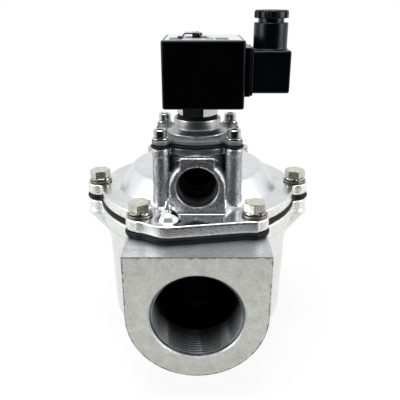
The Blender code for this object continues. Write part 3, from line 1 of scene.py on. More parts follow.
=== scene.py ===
import bmesh
import bpy
import numpy as np
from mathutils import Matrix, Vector


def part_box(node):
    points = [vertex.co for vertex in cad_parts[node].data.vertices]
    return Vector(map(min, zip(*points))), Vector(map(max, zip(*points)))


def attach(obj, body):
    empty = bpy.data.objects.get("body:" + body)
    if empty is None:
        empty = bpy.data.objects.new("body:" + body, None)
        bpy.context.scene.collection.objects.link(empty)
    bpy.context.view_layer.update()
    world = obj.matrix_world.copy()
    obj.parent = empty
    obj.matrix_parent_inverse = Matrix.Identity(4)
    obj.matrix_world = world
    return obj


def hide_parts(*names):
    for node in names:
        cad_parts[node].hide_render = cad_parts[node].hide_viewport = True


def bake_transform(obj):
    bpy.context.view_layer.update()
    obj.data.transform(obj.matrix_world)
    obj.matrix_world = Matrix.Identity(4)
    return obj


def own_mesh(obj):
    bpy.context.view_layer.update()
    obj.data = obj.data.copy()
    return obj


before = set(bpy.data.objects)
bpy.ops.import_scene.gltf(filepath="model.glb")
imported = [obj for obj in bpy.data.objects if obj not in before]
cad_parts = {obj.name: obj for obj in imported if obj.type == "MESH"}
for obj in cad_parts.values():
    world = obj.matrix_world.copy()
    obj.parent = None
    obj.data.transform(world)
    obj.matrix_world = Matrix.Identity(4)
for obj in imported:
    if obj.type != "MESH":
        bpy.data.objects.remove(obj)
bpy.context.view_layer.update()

# %% [markdown]
# All shapes are worked out in millimetres, as a machinist reads them, and become
# metres when a mesh is made. The two axes of the valve and the levels of its stacked
# pieces are read from the frame, so nothing can drift off the solids underneath. GAP
# is the room that the solids leave between pieces that touch.
# %% Axes and levels
MM = 0.001


def span(node):
    """Lowest and highest corner of a node, in millimetres."""
    low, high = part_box(node)
    return np.array(low) / MM, np.array(high) / MM


def about(node, at):
    """A node's lowest and highest corner, measured from a point."""
    low, high = span(node)
    return low - at, high - at


def ends(node):
    """Heights of a node's underside and top."""
    low, high = span(node)
    return float(low[2]), float(high[2])


def axis_of(node):
    """The foot of the upright axis through a node's middle."""
    low, high = span(node)
    return (low + high) / 2 * (1, 1, 0)


VALVE = axis_of("main_lower_disc") * (0, 1, 0)
PILOT = axis_of("tube_seal") * (0, 1, 0)
FORWARD = float(VALVE[1] - PILOT[1])
BODY_TOP = ends("valve_body")[1]
BONNET_FOOT, TOWER_TOP = ends("bonnet")
FLANGE_TOP = BONNET_FOOT + 8.0
PORT_FACE = 62.0
GAP = 0.3
COVER_FOOT, COVER_TOP = ends("pilot_cover")
INLET_FACE = float(VALVE[1] - span("valve_body")[0][1])
print("valve axis at y %.2f mm, pilot axis %.1f mm in front of it" % (VALVE[1], FORWARD))

# %% [markdown]
# A turned or swept surface is a grid of points: one direction runs round, the other
# along. This helper turns such a grid into a mesh. Where a row shrinks to one point,
# as at the tip of a dome, the doubled points are merged. Rows that stay open are
# closed by a flat face, and the faces are turned outwards.
# %% Grids of points into pieces
WELD = 0.002 * MM


def quad_piece(name, points, quads, *finishes):
    """A piece from points in millimetres (n, 3) and four-cornered faces (m, 4)."""
    mesh = bpy.data.meshes.new(name)
    mesh.vertices.add(len(points))
    mesh.vertices.foreach_set("co", (np.asarray(points) * MM).astype(np.float32).ravel())
    mesh.loops.add(quads.size)
    mesh.loops.foreach_set("vertex_index", quads.astype(np.int32).ravel())
    mesh.polygons.add(len(quads))
    mesh.polygons.foreach_set("loop_start", np.arange(0, quads.size, 4, dtype=np.int32))
    mesh.update(calc_edges=True)
    for finish in finishes:
        mesh.materials.append(finish)
    piece = bpy.data.objects.new(name, mesh)
    bpy.context.scene.collection.objects.link(piece)
    return piece


def grid(name, x, y, z, at, finish, ring=True, loop=False):
    """A piece from rows and columns of points.

    ring joins the last column to the first, loop the last row to the first.
    """
    points = np.stack([x, y, z], axis=-1).reshape(-1, 3) + np.asarray(at)
    numbers = np.arange(x.size).reshape(x.shape)
    if ring:
        numbers = np.concatenate([numbers, numbers[:, :1]], axis=1)
    if loop:
        numbers = np.concatenate([numbers, numbers[:1]])
    quads = np.stack([numbers[:-1, :-1], numbers[:-1, 1:], numbers[1:, 1:], numbers[1:, :-1]], axis=-1)
    piece = quad_piece(name, points, quads.reshape(-1, 4), finish)
    shape = bmesh.new()
    shape.from_mesh(piece.data)
    bmesh.ops.remove_doubles(shape, verts=shape.verts, dist=WELD)
    bmesh.ops.holes_fill(shape, edges=[e for e in shape.edges if e.is_boundary], sides=0)
    bmesh.ops.recalc_face_normals(shape, faces=shape.faces)
    shape.to_mesh(piece.data)
    shape.free()
    return piece


def around(steps):
    return np.linspace(0.0, 2 * np.pi, steps, endpoint=False)


def wound(name, rows, turn, at, finish, lay=None, **joins):
    """Rows of (radius r, height h) carried round an axis: x = r cos t, y = r sin t, z = h.

    r and h are numbers, or arrays with a value for each direction t. lay turns the
    axis to the front (-Y), to the side (+X) or down.
    """
    r, h = (np.array([np.broadcast_to(v, turn.shape) for v in column]) for column in zip(*rows))
    x, y = r * np.cos(turn), r * np.sin(turn)
    ways = {None: (x, y, h), "front": (x, -h, y), "side": (h, y, -x), "down": (x, -y, -h)}
    return grid(name, *ways[lay], at, finish, **joins)


def turned(name, profile, at, finish, steps=96, loop=False, lay=None):
    """A profile of (radius, height) points turned once round an axis."""
    return wound(name, profile, around(steps), at, finish, lay, loop=loop)


def rod(name, radius, low, high, at, finish, steps=32, lay=None):
    """A plain round cutter between two heights along its axis."""
    return turned(name, [(0, low), (radius, low), (radius, high), (0, high)], at, finish, steps, lay=lay)


def rods(name, spots, radius, low, high, at, finish, steps):
    """One cutter at each of several spots."""
    return [rod("%s_%d" % (name, number), radius, low, high, at + (*spot, 0), finish, steps)
            for number, spot in enumerate(spots)]


def block(name, low, high, at, finish):
    """A plain box between two corners, as two rows of four points."""
    (x0, y0, z0), (x1, y1, z1) = low, high
    x, y = np.array([[x0, x1, x1, x0]] * 2), np.array([[y0, y0, y1, y1]] * 2)
    return grid(name, x, y, np.array([[z0] * 4, [z1] * 4]), at, finish)


print("grid helpers ready")

# %% [markdown]
# A sand or die casting has no sharp inner corners: the metal flows round in a fillet
# wherever two forms meet. A field gives that for little work. It says of each point
# in space how far it lies outside the metal, less than zero being inside, and two
# fields join in a smooth minimum that leaves a fillet.
# %% Fields for castings


def round_to(x, y, cx, cy, radius):
    """Distance to an upright cylinder: the flat distance to its axis, less its radius."""
    return np.hypot(x - cx, y - cy) - radius


def joined(a, b, fillet):
    """Two forms as one. Near both, min(a, b) sinks by h^2 k / 4 with h = 1 - |a - b| / k."""
    share = np.maximum(fillet - np.abs(a - b), 0.0) / fillet
    return np.minimum(a, b) - share * share * fillet / 4


def kept(a, b, rounding):
    """What two forms share, its edge rounded: the smooth minimum, upside down."""
    return -joined(-a, -b, rounding)


def between(z, low, high):
    return np.maximum(low - z, z - high)


def plate_field(outline, depth, edge):
    """A plate from its outline's and its thickness's distances, with rounded edges."""
    a, b = outline + edge, depth + edge
    return np.minimum(np.maximum(a, b), 0) + np.hypot(np.maximum(a, 0), np.maximum(b, 0)) - edge


def block_field(x, y, z, low, high, edge):
    """A box between two corners with edges rounded to a radius."""
    parts = [between(v, a, b) + edge for v, a, b in zip((x, y, z), low, high)]
    outside = np.sqrt(sum(np.maximum(p, 0) ** 2 for p in parts))
    return np.minimum(np.maximum(np.maximum(parts[0], parts[1]), parts[2]), 0) + outside - edge


print("field helpers ready")

# %% [markdown]
# The field becomes a skin in two steps. Space is cut into small cells, and each cell
# that the surface passes through gets one point. Then each point slides along the
# field's slope until the field is zero there, which puts it exactly on the surface,
# however coarse the cells are.
# %% Fields into skins


def slope_at(field, points, reach=0.02):
    """The field's slope, from its difference over a short step along each axis."""
    return np.stack([(field(*(points + s).T) - field(*(points - s).T)) / (2 * reach)
                     for s in np.eye(3) * reach], axis=1)


def skin(name, field, low, high, cell, at, *finishes):
    """The closed surface where a field is zero, inside a box, with cells of one size."""
    axes = [np.arange(a, b + cell, cell, dtype=np.float32) for a, b in zip(low, high)]
    inside = field(*np.meshgrid(*axes, indexing="ij")) < 0
    filled = sum(inside[i:i - 1 or None, j:j - 1 or None, k:k - 1 or None].astype(np.int8)
                 for i in (0, 1) for j in (0, 1) for k in (0, 1))
    active = (filled > 0) & (filled < 8)
    numbers = np.full(active.shape, -1)
    numbers[active] = np.arange(np.count_nonzero(active))
    spots = np.argwhere(active)
    centres = np.stack([axes[i][spots[:, i]] + cell / 2 for i in range(3)], axis=1).astype(float)
    points = centres.copy()
    for _ in range(5):
        slope = slope_at(field, points)
        steep = np.maximum(np.sum(slope ** 2, axis=1), 0.2)
        points -= (field(*points.T) / steep)[:, None] * slope
        points = np.clip(points, centres - cell * 0.7, centres + cell * 0.7)
    quads = []
    units = np.eye(3, dtype=int)
    for i in range(3):
        count = inside.shape[i]
        near, far = np.take(inside, range(count - 1), i), np.take(inside, range(1, count), i)
        one, two = units[(i + 1) % 3], units[(i + 2) % 3]
        for crossing, order in ((near & ~far, 1), (~near & far, -1)):
            spots = np.argwhere(crossing)
            corners = [spots - one - two, spots - two, spots, spots - one][::order]
            quads.append(np.stack([numbers[tuple(c.T)] for c in corners], axis=1))
    piece = quad_piece(name, points + np.asarray(at), np.concatenate(quads), *finishes)
    print("%s skin: %d faces" % (name, len(piece.data.polygons)))
    return piece


# %% [markdown]
# Bores, threads and sealing faces are machined into the casting afterwards, so here
# they are cut with Boolean tools. Each tool brings its own material, which the cut
# faces keep. That is how a bright thread ends up inside a dull casting.
# %% Machining with Booleans


def settle(piece):
    """Put the result of a piece's modifiers into its own mesh."""
    graph = bpy.context.evaluated_depsgraph_get()
    mesh = bpy.data.meshes.new_from_object(piece.evaluated_get(graph))
    piece.modifiers.clear()
    piece.data = mesh
    return piece


def combine(piece, operation, *tools):
    """Join or cut a piece with each tool in turn, which is used up."""
    for tool in tools:
        step = piece.modifiers.new("tool", "BOOLEAN")
        step.operation = operation
        step.solver = "EXACT"
        step.material_mode = "TRANSFER"
        step.object = tool
        settle(piece)
        bpy.data.objects.remove(tool, do_unlink=True)
    return piece


def of_faces(piece, what):
    """The centres or normals of a piece's faces (n, 3), read in one go."""
    values = np.empty(len(piece.data.polygons) * 3, np.float32)
    piece.data.polygons.foreach_get(what, values)
    return values.reshape(-1, 3)


def face_middles(piece, at):
    """x, y and z of the middle of each face, in millimetres about a point."""
    return (of_faces(piece, "center") / MM - at).T


def number_faces(piece, numbers):
    """Which of the piece's finishes each face has."""
    piece.data.polygons.foreach_set("material_index", np.asarray(numbers, np.int32))


print("machining helpers ready")

# %% [markdown]
# The metals differ mainly in how they were finished. As-cast aluminium has the print
# of the mould's sand in it, blasted faces are evenly dull, and turned or plated ones
# are smooth. One recipe serves them all: a fine noise for grain, a broad one for the
# cloudy stains of handling, and small dark pits.
# %% A recipe for metals


def feed(tree, socket, value):
    """Give a socket a fixed value, or wire another node's output to it."""
    if isinstance(value, bpy.types.NodeSocket):
        tree.links.new(value, socket)
    elif socket.type == "RGBA":
        socket.default_value = (*value, 1.0)
    else:
        socket.default_value = value


def add_node(tree, kind, inputs, output=0, **settings):
    """A shader node with its inputs fed by name or number. It gives one output, or all."""
    node = tree.nodes.new("ShaderNode" + kind)
    for name, setting in settings.items():
        setattr(node, name, setting)
    for key, value in inputs.items():
        feed(tree, node.inputs[key], value)
    return node.outputs if output is None else node.outputs[output]


def math_node(tree, operation, first, second, clamp=False):
    return add_node(tree, "Math", {0: first, 1: second}, operation=operation, use_clamp=clamp)


def noise_node(tree, place, scale, detail, roughness=0.6):
    """Noise over the piece's own coordinates; scale counts waves a metre."""
    inputs = {"Vector": place, "Scale": scale, "Detail": detail, "Roughness": roughness}
    return add_node(tree, "TexNoise", inputs, "Fac")


def ramp_node(tree, value, low, high, start, end):
    """Carry a value from the range low..high to start..end, held at both ends."""
    return add_node(tree, "MapRange", {0: value, 1: low, 2: high, 3: start, 4: end})


def mix_node(tree, share, first, second):
    """Mix two colours. Either may be a fixed colour or another node's output."""
    return add_node(tree, "Mix", {0: share, 6: first, 7: second}, 2, data_type="RGBA")


def bump_node(tree, height, depth):
    """Bump from a height that runs over a depth in metres."""
    return add_node(tree, "Bump", {"Strength": 1.0, "Distance": depth, "Height": height}, "Normal")


def new_finish(name):
    """A material, its nodes, and the piece's own coordinates."""
    material = bpy.data.materials.new(name)
    material.use_nodes = True
    tree = material.node_tree
    return material, tree, tree.nodes.new("ShaderNodeTexCoord").outputs["Object"]


def surface(tree, inputs):
    """Feed the sockets of a material's Principled shader."""
    for name, value in inputs.items():
        feed(tree, tree.nodes["Principled BSDF"].inputs[name], value)


def metal(name, light, dark, rough, grain, depth, metallic=1.0, pits=0.0, cloud=55.0, fleck=0.0, streak=1.0,
          painted_shade=None):
    """A cast or plated metal: cloudy and flecked colour, roughness that follows it, grain.

    fleck is the share of the colour's change that is as fine as the grain. A streak
    below one stretches the clouds upwards. painted_shade is an axis, where along it a
    painted shade starts and ends, and its share at both places.
    """
    material, tree, place = new_finish(name)
    parts = add_node(tree, "SeparateXYZ", {0: place}, None)
    if streak < 1.0:
        place = add_node(tree, "Mapping", {"Vector": place, "Scale": (1.0, 1.0, streak)})
    clouds = noise_node(tree, place, cloud, 5.0)
    flecks = noise_node(tree, place, grain * 0.83, 2.0)
    share = math_node(tree, "ADD", ramp_node(tree, clouds, 0.38, 0.66, 0.0, 1.0 - fleck),
                      ramp_node(tree, flecks, 0.42, 0.6, 0.0, fleck), clamp=True)
    colour = mix_node(tree, share, light, dark)
    if pits > 0.0:
        speck = ramp_node(tree, noise_node(tree, place, grain * 0.55, 2.0), 0.66, 0.72, 0.0, pits)
        colour = mix_node(tree, speck, colour, tuple(v * 0.25 for v in dark))
    # Painted shade: the colour darkens along an axis, deeper in a bore or lower down a face.
    if painted_shade:
        shade_share = ramp_node(tree, parts[painted_shade[0]], *painted_shade[1:])
        colour = mix_node(tree, shade_share, colour, tuple(v * 0.1 for v in dark))
    surface(tree, {"Metallic": metallic, "Base Color": colour,
                   "Roughness": ramp_node(tree, clouds, 0.3, 0.7, *rough),
                   "Normal": bump_node(tree, noise_node(tree, place, grain, 3.0, 0.7), depth)})
    return material


INLET_MOUTH, PORT_MOUTH = float(VALVE[1] - INLET_FACE) * MM, float(VALVE[1] - PORT_FACE) * MM
SAND_CAST = metal("sand_cast_aluminium", (0.58, 0.59, 0.605), (0.19, 0.195, 0.21), (0.25, 0.35), 950.0,
                  0.00032, pits=0.4, cloud=140.0, fleck=0.6)
WALL_CAST = metal("wall_cast_aluminium", (0.23, 0.24, 0.255), (0.14, 0.145, 0.16), (0.30, 0.40), 900.0,
                  0.00006, pits=0.15, fleck=0.2)
SMOOTH_CAST = metal("smooth_cast_aluminium", (0.72, 0.73, 0.75), (0.58, 0.59, 0.61), (0.13, 0.22), 900.0,
                    0.00004, pits=0.2, fleck=0.3)
POLISHED_CAST = metal("polished_cast_aluminium", (0.78, 0.79, 0.80), (0.66, 0.675, 0.69), (0.30, 0.40),
                      400.0, 0.00004)
MIRROR_CAST = metal("mirror_cast_aluminium", (0.86, 0.86, 0.87), (0.74, 0.75, 0.76), (0.07, 0.13), 400.0,
                    0.00002)
MILLED_CAST = metal("milled_cast_aluminium", (0.60, 0.625, 0.66), (0.40, 0.42, 0.455), (0.36, 0.46), 950.0,
                    0.00016, pits=0.4, cloud=140.0, fleck=0.5)
PALE_CAST = metal("pale_cast_aluminium", (0.82, 0.83, 0.82), (0.70, 0.71, 0.70), (0.36, 0.48), 1100.0, 0.0003,
                  pits=0.3, fleck=0.4)
EDGE_CAST = metal("edge_cast_aluminium", (0.92, 0.92, 0.87), (0.68, 0.68, 0.64), (0.15, 0.24), 1000.0,
                  0.00022, pits=0.8, fleck=0.5)
COVER_CAST = metal("cover_cast_aluminium", (0.16, 0.165, 0.175), (0.10, 0.103, 0.11), (0.32, 0.42), 900.0,
                   0.00012, metallic=0.3, pits=0.3, fleck=0.2)
# Painted shade: the chambers and bores inside the castings are near black, as little light reaches them.
SHADED_INSIDE_CAST = metal("shaded_inside_aluminium", (0.05, 0.052, 0.055), (0.02, 0.02, 0.022), (0.4, 0.55), 1200.0,
                  0.0002)
TURNED = metal("turned_aluminium", (0.47, 0.48, 0.50), (0.29, 0.30, 0.32), (0.28, 0.38), 900.0, 0.00001,
               cloud=420.0, streak=0.03)
# The bores' dark colours, and their darkening deeper in from the mouth, are painted shade.
BORED = metal("bored_aluminium", (0.15, 0.153, 0.16), (0.07, 0.07, 0.077), (0.32, 0.42), 900.0, 0.00003,
              metallic=0.85, painted_shade=(1, INLET_MOUTH + 0.004, INLET_MOUTH + 0.024, 0.0, 0.97))
# Painted highlight: the thread's ridge tops get a paler finish than their flanks.
CREST_HIGHLIGHT = metal("thread_crest_highlight_aluminium", (0.27, 0.275, 0.285), (0.18, 0.185, 0.19), (0.32, 0.42), 900.0,
              0.00002, metallic=0.6, painted_shade=(1, INLET_MOUTH + 0.003, INLET_MOUTH + 0.022, 0.0, 0.97))
SHADED_PORT_BORE = metal("shaded_port_bore_aluminium", (0.085, 0.088, 0.094), (0.05, 0.051, 0.056), (0.4, 0.5), 900.0,
                  0.00003, metallic=0.6, painted_shade=(1, PORT_MOUTH, PORT_MOUTH + 0.009, 0.0, 0.97))
# Painted shade: the blasted faces darken towards the foot, lower along z, where less light falls.
BLASTED, INLET_CAST = (metal(name, (0.67, 0.675, 0.625), (0.50, 0.505, 0.465), (0.5, 0.62), 750.0, 0.0002,
                             metallic=0.5, pits=0.5, cloud=130.0, fleck=0.4, painted_shade=(2, 0.0, 0.07, 0.30, 0.0))
                       for name in ("blasted_aluminium", "milled_inlet_aluminium"))
print("casting finishes ready")

# %% [markdown]
# Blender shades neighbouring faces as one curve unless an edge is marked sharp. On a
# casting, edges are sharp only where a tool cut it, so an edge is marked where two
# finishes meet, or where machined faces meet at an angle. Then the piece is hung on
# the body that carries it, and stands for the solids it replaces.
# %% Shading and placing a piece


def shade(piece, angle, cast=()):
    """Smooth shading with sharp machined edges. Faces with a cast finish have none between them."""
    soft = {number for number, finish in enumerate(piece.data.materials) if finish in cast}
    limit = np.radians(angle)
    shape = bmesh.new()
    shape.from_mesh(piece.data)
    for face in shape.faces:
        face.smooth = True
    for edge in shape.edges:
        if len(edge.link_faces) == 2:
            one, two = (face.material_index in soft for face in edge.link_faces)
            turned_away = edge.calc_face_angle(0.0) > limit and not (one and two)
            edge.smooth = not (one != two or turned_away)
    shape.to_mesh(piece.data)
    shape.free()
    piece.modifiers.new("weighed", "WEIGHTED_NORMAL").keep_sharp = True
    return settle(piece)


def mount(piece, body, slot, *nodes, angle=30.0, cast=()):
    """Shade a piece, let it ride on a body, and stand for the solids it replaces."""
    shade(piece, angle, cast)
    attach(piece, body)
    if nodes:
        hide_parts(*nodes)
    print("%s: %d faces on %s" % (piece.name, len(piece.data.polygons), body))
    return piece


print("placing helpers ready")

# %% [markdown]
# Body and bonnet are bolted together through the same lobed outline, so it is made
# once, as a flat field: a disc, a lobe round each bolt, and the bonnet's blunt
# corner that stands out over the inlet.
# %% The flange outline
BOLT_CIRCLE, LOBE_RADIUS, FLANGE_RADIUS = 73.0, 9.3, 71.0
CORNER = np.array([-21.4, -82.0])
CORNER_SIDES = np.array([[-36.5, -72.5], [36.5, -72.5]])
BOLT_SPOTS = [(BOLT_CIRCLE * np.cos(a), BOLT_CIRCLE * np.sin(a)) for a in np.arange(6) * np.pi / 3]


def side_of(x, y, start, end):
    """Distance to the left of a straight line from start to end."""
    way = (end - start) / np.hypot(*(end - start))
    return (x - start[0]) * -way[1] + (y - start[1]) * way[0]


def corner_field(x, y):
    """The wedge that fills the outline between its blunt corner and the disc."""
    left, right = CORNER_SIDES
    centre = np.zeros(2)
    inner = np.maximum(side_of(x, y, left, centre), side_of(x, y, centre, right))
    return np.maximum(kept(side_of(x, y, CORNER, left), side_of(x, y, right, CORNER), 4.0), inner)


def flange_outline(x, y):
    """Disc, corner and lobes in one outline, with a fillet between them."""
    shape = joined(round_to(x, y, 0, 0, FLANGE_RADIUS), corner_field(x, y), 3.0)
    for spot in BOLT_SPOTS:
        shape = joined(shape, round_to(x, y, *spot, LOBE_RADIUS), 4.0)
    return shape


print("outline reaches %.1f mm from the axis at the corner" % np.hypot(*CORNER))

# %% [markdown]
# A pipe thread is a ridge that climbs round the bore. As a surface, the radius falls
# and rises with the height along the bore, counted in turns, less the share of a
# turn already gone round. The same function gives the tap that cuts the ports and
# the ridges of every screw. In the inlet the tops of the ridges have a paler finish
# than their flanks, a painted highlight, so their faces are told by their distance
# from the axis.
# %% Threads
ROWS_A_PITCH = 8


def thread_wave(turn, along, pitch):
    """0 at a thread's root and 1 at its crest, from flank to flank in a straight line."""
    share = (along / pitch - turn / (2 * np.pi)) % 1.0
    return np.clip(1.6 * (1 - np.abs(2 * share - 1)) - 0.3, 0.0, 1.0)


def tap(name, radius, pitch, chamfer, depth, throat, face, end, finish, at, lay="front", steps=112,
        plain=0.0):
    """A threaded cutter along a port's axis, from past its face to its far end.

    face and end are distances along the axis. The ridges stand in from the radius by
    0.64 pitch, start behind a plain stretch, and the mouth opens in a 45 degree chamfer.
    """
    past = 4.0
    rows = np.concatenate([np.linspace(face + past, face - chamfer, 5)[:-1],
                           np.arange(face - chamfer, face - depth, -pitch / ROWS_A_PITCH)])
    turn = around(steps)
    t, s = np.meshgrid(turn, rows)
    begun = np.clip((face - plain - s) / pitch, 0, 1)
    cut = radius - 0.64 * pitch * thread_wave(t, s, pitch) * begun
    cut = np.maximum(cut, radius + chamfer + s - face)
    tail = [(throat, face - depth), (throat, end), (0.0, end)]
    return wound(name, [*zip(cut, s), *tail], turn, at, finish, lay)


def highlight_crests(piece, radius, pitch, chamfer, face, at, crest, mouth):
    """Give the ridges of a front tap a paler finish, a painted highlight, and its chamfer a finish of its
    own.
    """
    piece.data.materials.append(crest)
    piece.data.materials.append(mouth)
    x, y, z = face_middles(piece, at)
    across = np.hypot(x, z)
    highlighted = (across < radius - 0.36 * pitch) & (across > radius - 0.7 * pitch)
    on_chamfer = (face + y < chamfer) & (across > radius + 0.1 * chamfer)
    number_faces(piece, np.select([on_chamfer, highlighted], [2, 1], 0))


print("tap ready")

# %% [markdown]
# The body is one casting. Its barrel is drawn in at the foot, the six bolt lobes lean
# in to meet it, and a D-shaped block carries the inlet. Inside, compressed air fills
# the space round an outlet tube, whose upper rim is the valve's seat.
# %% The body's outside
BARREL_TOP_RADIUS, BARREL_LOW_RADIUS, BARREL_ROUNDING = 67.0, 65.0, 14.0
BOSS_RADIUS, BOSS_HEIGHT = 40.0, 11.0
INLET_HEIGHT, INLET_HALF, INLET_TOP = 65.7, 45.0, BODY_TOP - 0.25
BODY_CELL = 1.15


def barrel_field(x, y, z):
    """A drum with a rounded foot on a narrower boss; r is compared with the drum's wall."""
    r = np.hypot(x, y)
    wall = r - (BARREL_LOW_RADIUS + (BARREL_TOP_RADIUS - BARREL_LOW_RADIUS) * np.clip(z / 80, 0, 1))
    a, b = wall + BARREL_ROUNDING, BOSS_HEIGHT - z + BARREL_ROUNDING
    drum = np.minimum(np.maximum(a, b), 0) + np.hypot(np.maximum(a, 0), np.maximum(b, 0))
    drum = np.maximum(drum - BARREL_ROUNDING, z - BODY_TOP + 1.0)
    boss = plate_field(r - BOSS_RADIUS, between(z, -2.0, 40.0), 0.5)
    return joined(drum, boss, 5.0)


def body_field(x, y, z):
    """Barrel, six lobes that lean in over their lowest 20 mm, flange, and the inlet's D block.

    The block runs past its face, which is milled back, and its fillet shrinks upwards.
    """
    shape = barrel_field(x, y, z)
    for spot in BOLT_SPOTS:
        lean = 1 - 0.235 * np.clip((97.0 - z) / 20.0, 0, 1)
        lobe = round_to(x, y, spot[0] * lean, spot[1] * lean, LOBE_RADIUS)
        shape = joined(shape, kept(lobe, between(z, 76.0, 100.0), 3.0), 4.0)
    flange = plate_field(flange_outline(x, y), between(z, BODY_TOP - 11.0, BODY_TOP), 0.8)
    shape = joined(shape, flange, 3.0)
    arch = np.where(z > INLET_HEIGHT, np.abs(x), np.hypot(x, z - INLET_HEIGHT)) - INLET_HALF
    block_depth = np.maximum(between(y, -INLET_FACE - 4.0, -30.0), z - INLET_TOP)
    fillet = 5.0 - 4.2 * np.clip((z - 88.0) / 10.0, 0, 1)
    return joined(shape, plate_field(arch, block_depth, 0.35), fillet)


body = skin("body_casting", body_field, (-88, -102, -6), (88, 80, BODY_TOP + 4), BODY_CELL, VALVE,
            PALE_CAST, MILLED_CAST)
x, y, z = face_middles(body, VALVE)
# The D block's top takes the darker milled finish: its own milled face, partly darkened as a painted
# reflection of the dark rubber and flange behind it.
number_faces(body, (z > INLET_TOP - 0.3) & (y < -60.0))

# %% [markdown]
# A thin line of painted shade draws the outline of the inlet's face: the finish of
# this face darkens in a band inside its D outline, made ragged by a noise.
# %% The dark line round the inlet's face
EDGE_SHADE_WIDTH = 0.7 * MM
EDGE_SHADE_COLOUR = (0.05, 0.05, 0.045)


def paint_edge_shade(material, middle_height, half, top, width, dark):
    """Darken a thin band inside a D outline: painted shade along its edge.

    distance = max(length of (x, 0, min(z - middle, 0)) - half, z - top).
    """
    tree = material.node_tree
    place = tree.nodes.new("ShaderNodeTexCoord").outputs["Object"]
    parts = add_node(tree, "SeparateXYZ", {0: place}, None)
    under = math_node(tree, "MINIMUM", math_node(tree, "ADD", parts[2], -middle_height), 0.0)
    flat = add_node(tree, "CombineXYZ", {0: parts[0], 2: under})
    side = math_node(tree, "ADD", add_node(tree, "VectorMath", {0: flat}, "Value", operation="LENGTH"), -half)
    nearest = math_node(tree, "MAXIMUM", side, math_node(tree, "ADD", parts[2], -top))
    ragged = ramp_node(tree, noise_node(tree, place, 420.0, 3.0), 0.3, 0.7, -width, width)
    share = ramp_node(tree, math_node(tree, "ADD", nearest, ragged), -width, -width / 3, 0.0, 0.75)
    under_band = tree.nodes["Principled BSDF"].inputs["Base Color"].links[0].from_socket
    surface(tree, {"Base Color": mix_node(tree, share, under_band, dark)})


# Painted shade: a thin dark band along the edge of the inlet's face.
paint_edge_shade(INLET_CAST, INLET_HEIGHT * MM, INLET_HALF * MM, (INLET_TOP - 0.45) * MM, EDGE_SHADE_WIDTH, EDGE_SHADE_COLOUR)
print("dark line of %.1f mm round the inlet's face" % (EDGE_SHADE_WIDTH / MM))

# %% [markdown]
# The faces of the body are milled: the inlet's, the outlet's and the sealing face
# under the diaphragm. The chamber is a turned hollow with the outlet tube left
# standing in it.
# %% Machining the body
OUTLET_TUBE = 31.0
CHAMBER_RADIUS, CHAMBER_FLOOR, CHAMBER_ROUNDING = 58.0, 33.0, 12.0
PIPE, PIPE_DEPTH = dict(radius=29.8, pitch=2.309, chamfer=0.9), 26.0
M8_HOLE, M8_HOLE_DEPTH = 4.3, 13
PAST = 6.0

mill = block("mill_front", (-90, -INLET_FACE - 12, -20), (90, -INLET_FACE, 120), VALVE, INLET_CAST)
foot_mill = block("mill_foot", (-60, -60, -12), (60, 60, 0), VALVE, BLASTED)
quarter = np.linspace(0, np.pi / 2, 7)
rounding = [*zip(CHAMBER_RADIUS - CHAMBER_ROUNDING * (1 - np.cos(quarter)),
                 CHAMBER_FLOOR + CHAMBER_ROUNDING * (1 - np.sin(quarter)))]
chamber = turned("chamber", [
    (CHAMBER_RADIUS, BODY_TOP + PAST), *rounding, (OUTLET_TUBE + 6, CHAMBER_FLOOR),
    (OUTLET_TUBE + 2, CHAMBER_FLOOR + 4), (OUTLET_TUBE, BODY_TOP - 0.6), (OUTLET_TUBE - 0.6, BODY_TOP),
    (OUTLET_TUBE - 0.6, BODY_TOP + PAST)], VALVE, SHADED_INSIDE_CAST, 128, loop=True)
inlet_at = VALVE + (0, 0, INLET_HEIGHT)
inlet_tap = tap("inlet_tap", **PIPE, depth=PIPE_DEPTH, throat=27.0, face=INLET_FACE, end=39.0, finish=BORED,
                at=inlet_at)
highlight_crests(inlet_tap, **PIPE, face=INLET_FACE, at=inlet_at, crest=CREST_HIGHLIGHT, mouth=MILLED_CAST)
outlet_tap = tap("outlet_tap", **PIPE, depth=PIPE_DEPTH, throat=26.0, face=0.0, end=-BODY_TOP - PAST,
                 finish=BORED, at=VALVE, lay="down")
combine(outlet_tap, "UNION", foot_mill)
combine(inlet_tap, "UNION", chamber, mill, outlet_tap, *rods(
    "bolt_hole", BOLT_SPOTS, M8_HOLE, BODY_TOP - M8_HOLE_DEPTH, BODY_TOP + PAST, VALVE, TURNED, 24))
combine(body, "DIFFERENCE", inlet_tap)
mount(body, "valve", "cast_aluminium", "valve_body", cast=(PALE_CAST, MILLED_CAST, SHADED_INSIDE_CAST))

# %% [markdown]
# The bonnet is the richest casting: flange, dome, and the pilot tower that stands
# forward of the dome's middle with a column at each corner and the exhaust port in
# front. Everything meets in small fillets, so it is one field.
# %% The bonnet's outside
DOME_FOOT_RADIUS, DOME_TOP_RADIUS, DOME_TOP = 58.0, 47.0, BONNET_FOOT + 23.2
PORT_AXIS, PORT_HALF = BONNET_FOOT + 25.7, 17.9
TAB_HALF, TAB_TOP = 10.8, BONNET_FOOT + 45.3
SCREW_STEP = 23.4
SCREW_SPOTS = [(x * SCREW_STEP, y * SCREW_STEP) for x, y in ((-1, -1), (1, -1), (1, 1), (-1, 1))]
PILOT_FLANGE_RADIUS, PILOT_LOBE_RADIUS = 28.6, 5.6
TOWER_RADIUS = 27.0
COLUMN_FOOT_RADIUS, COLUMN_TAPER = 5.9, 0.6
HUMP = np.array([-18.0, -69.5])
HUMP_RADIUS, HUMP_RISE = 7.2, 6.0
BONNET_CELL = 0.8


def pilot_outline(x, y):
    """The outline of tower rim, small diaphragm and cover, about the pilot axis."""
    shape = round_to(x, y, 0, 0, PILOT_FLANGE_RADIUS)
    for spot in SCREW_SPOTS:
        shape = joined(shape, round_to(x, y, *spot, PILOT_LOBE_RADIUS), 2.5)
    return shape


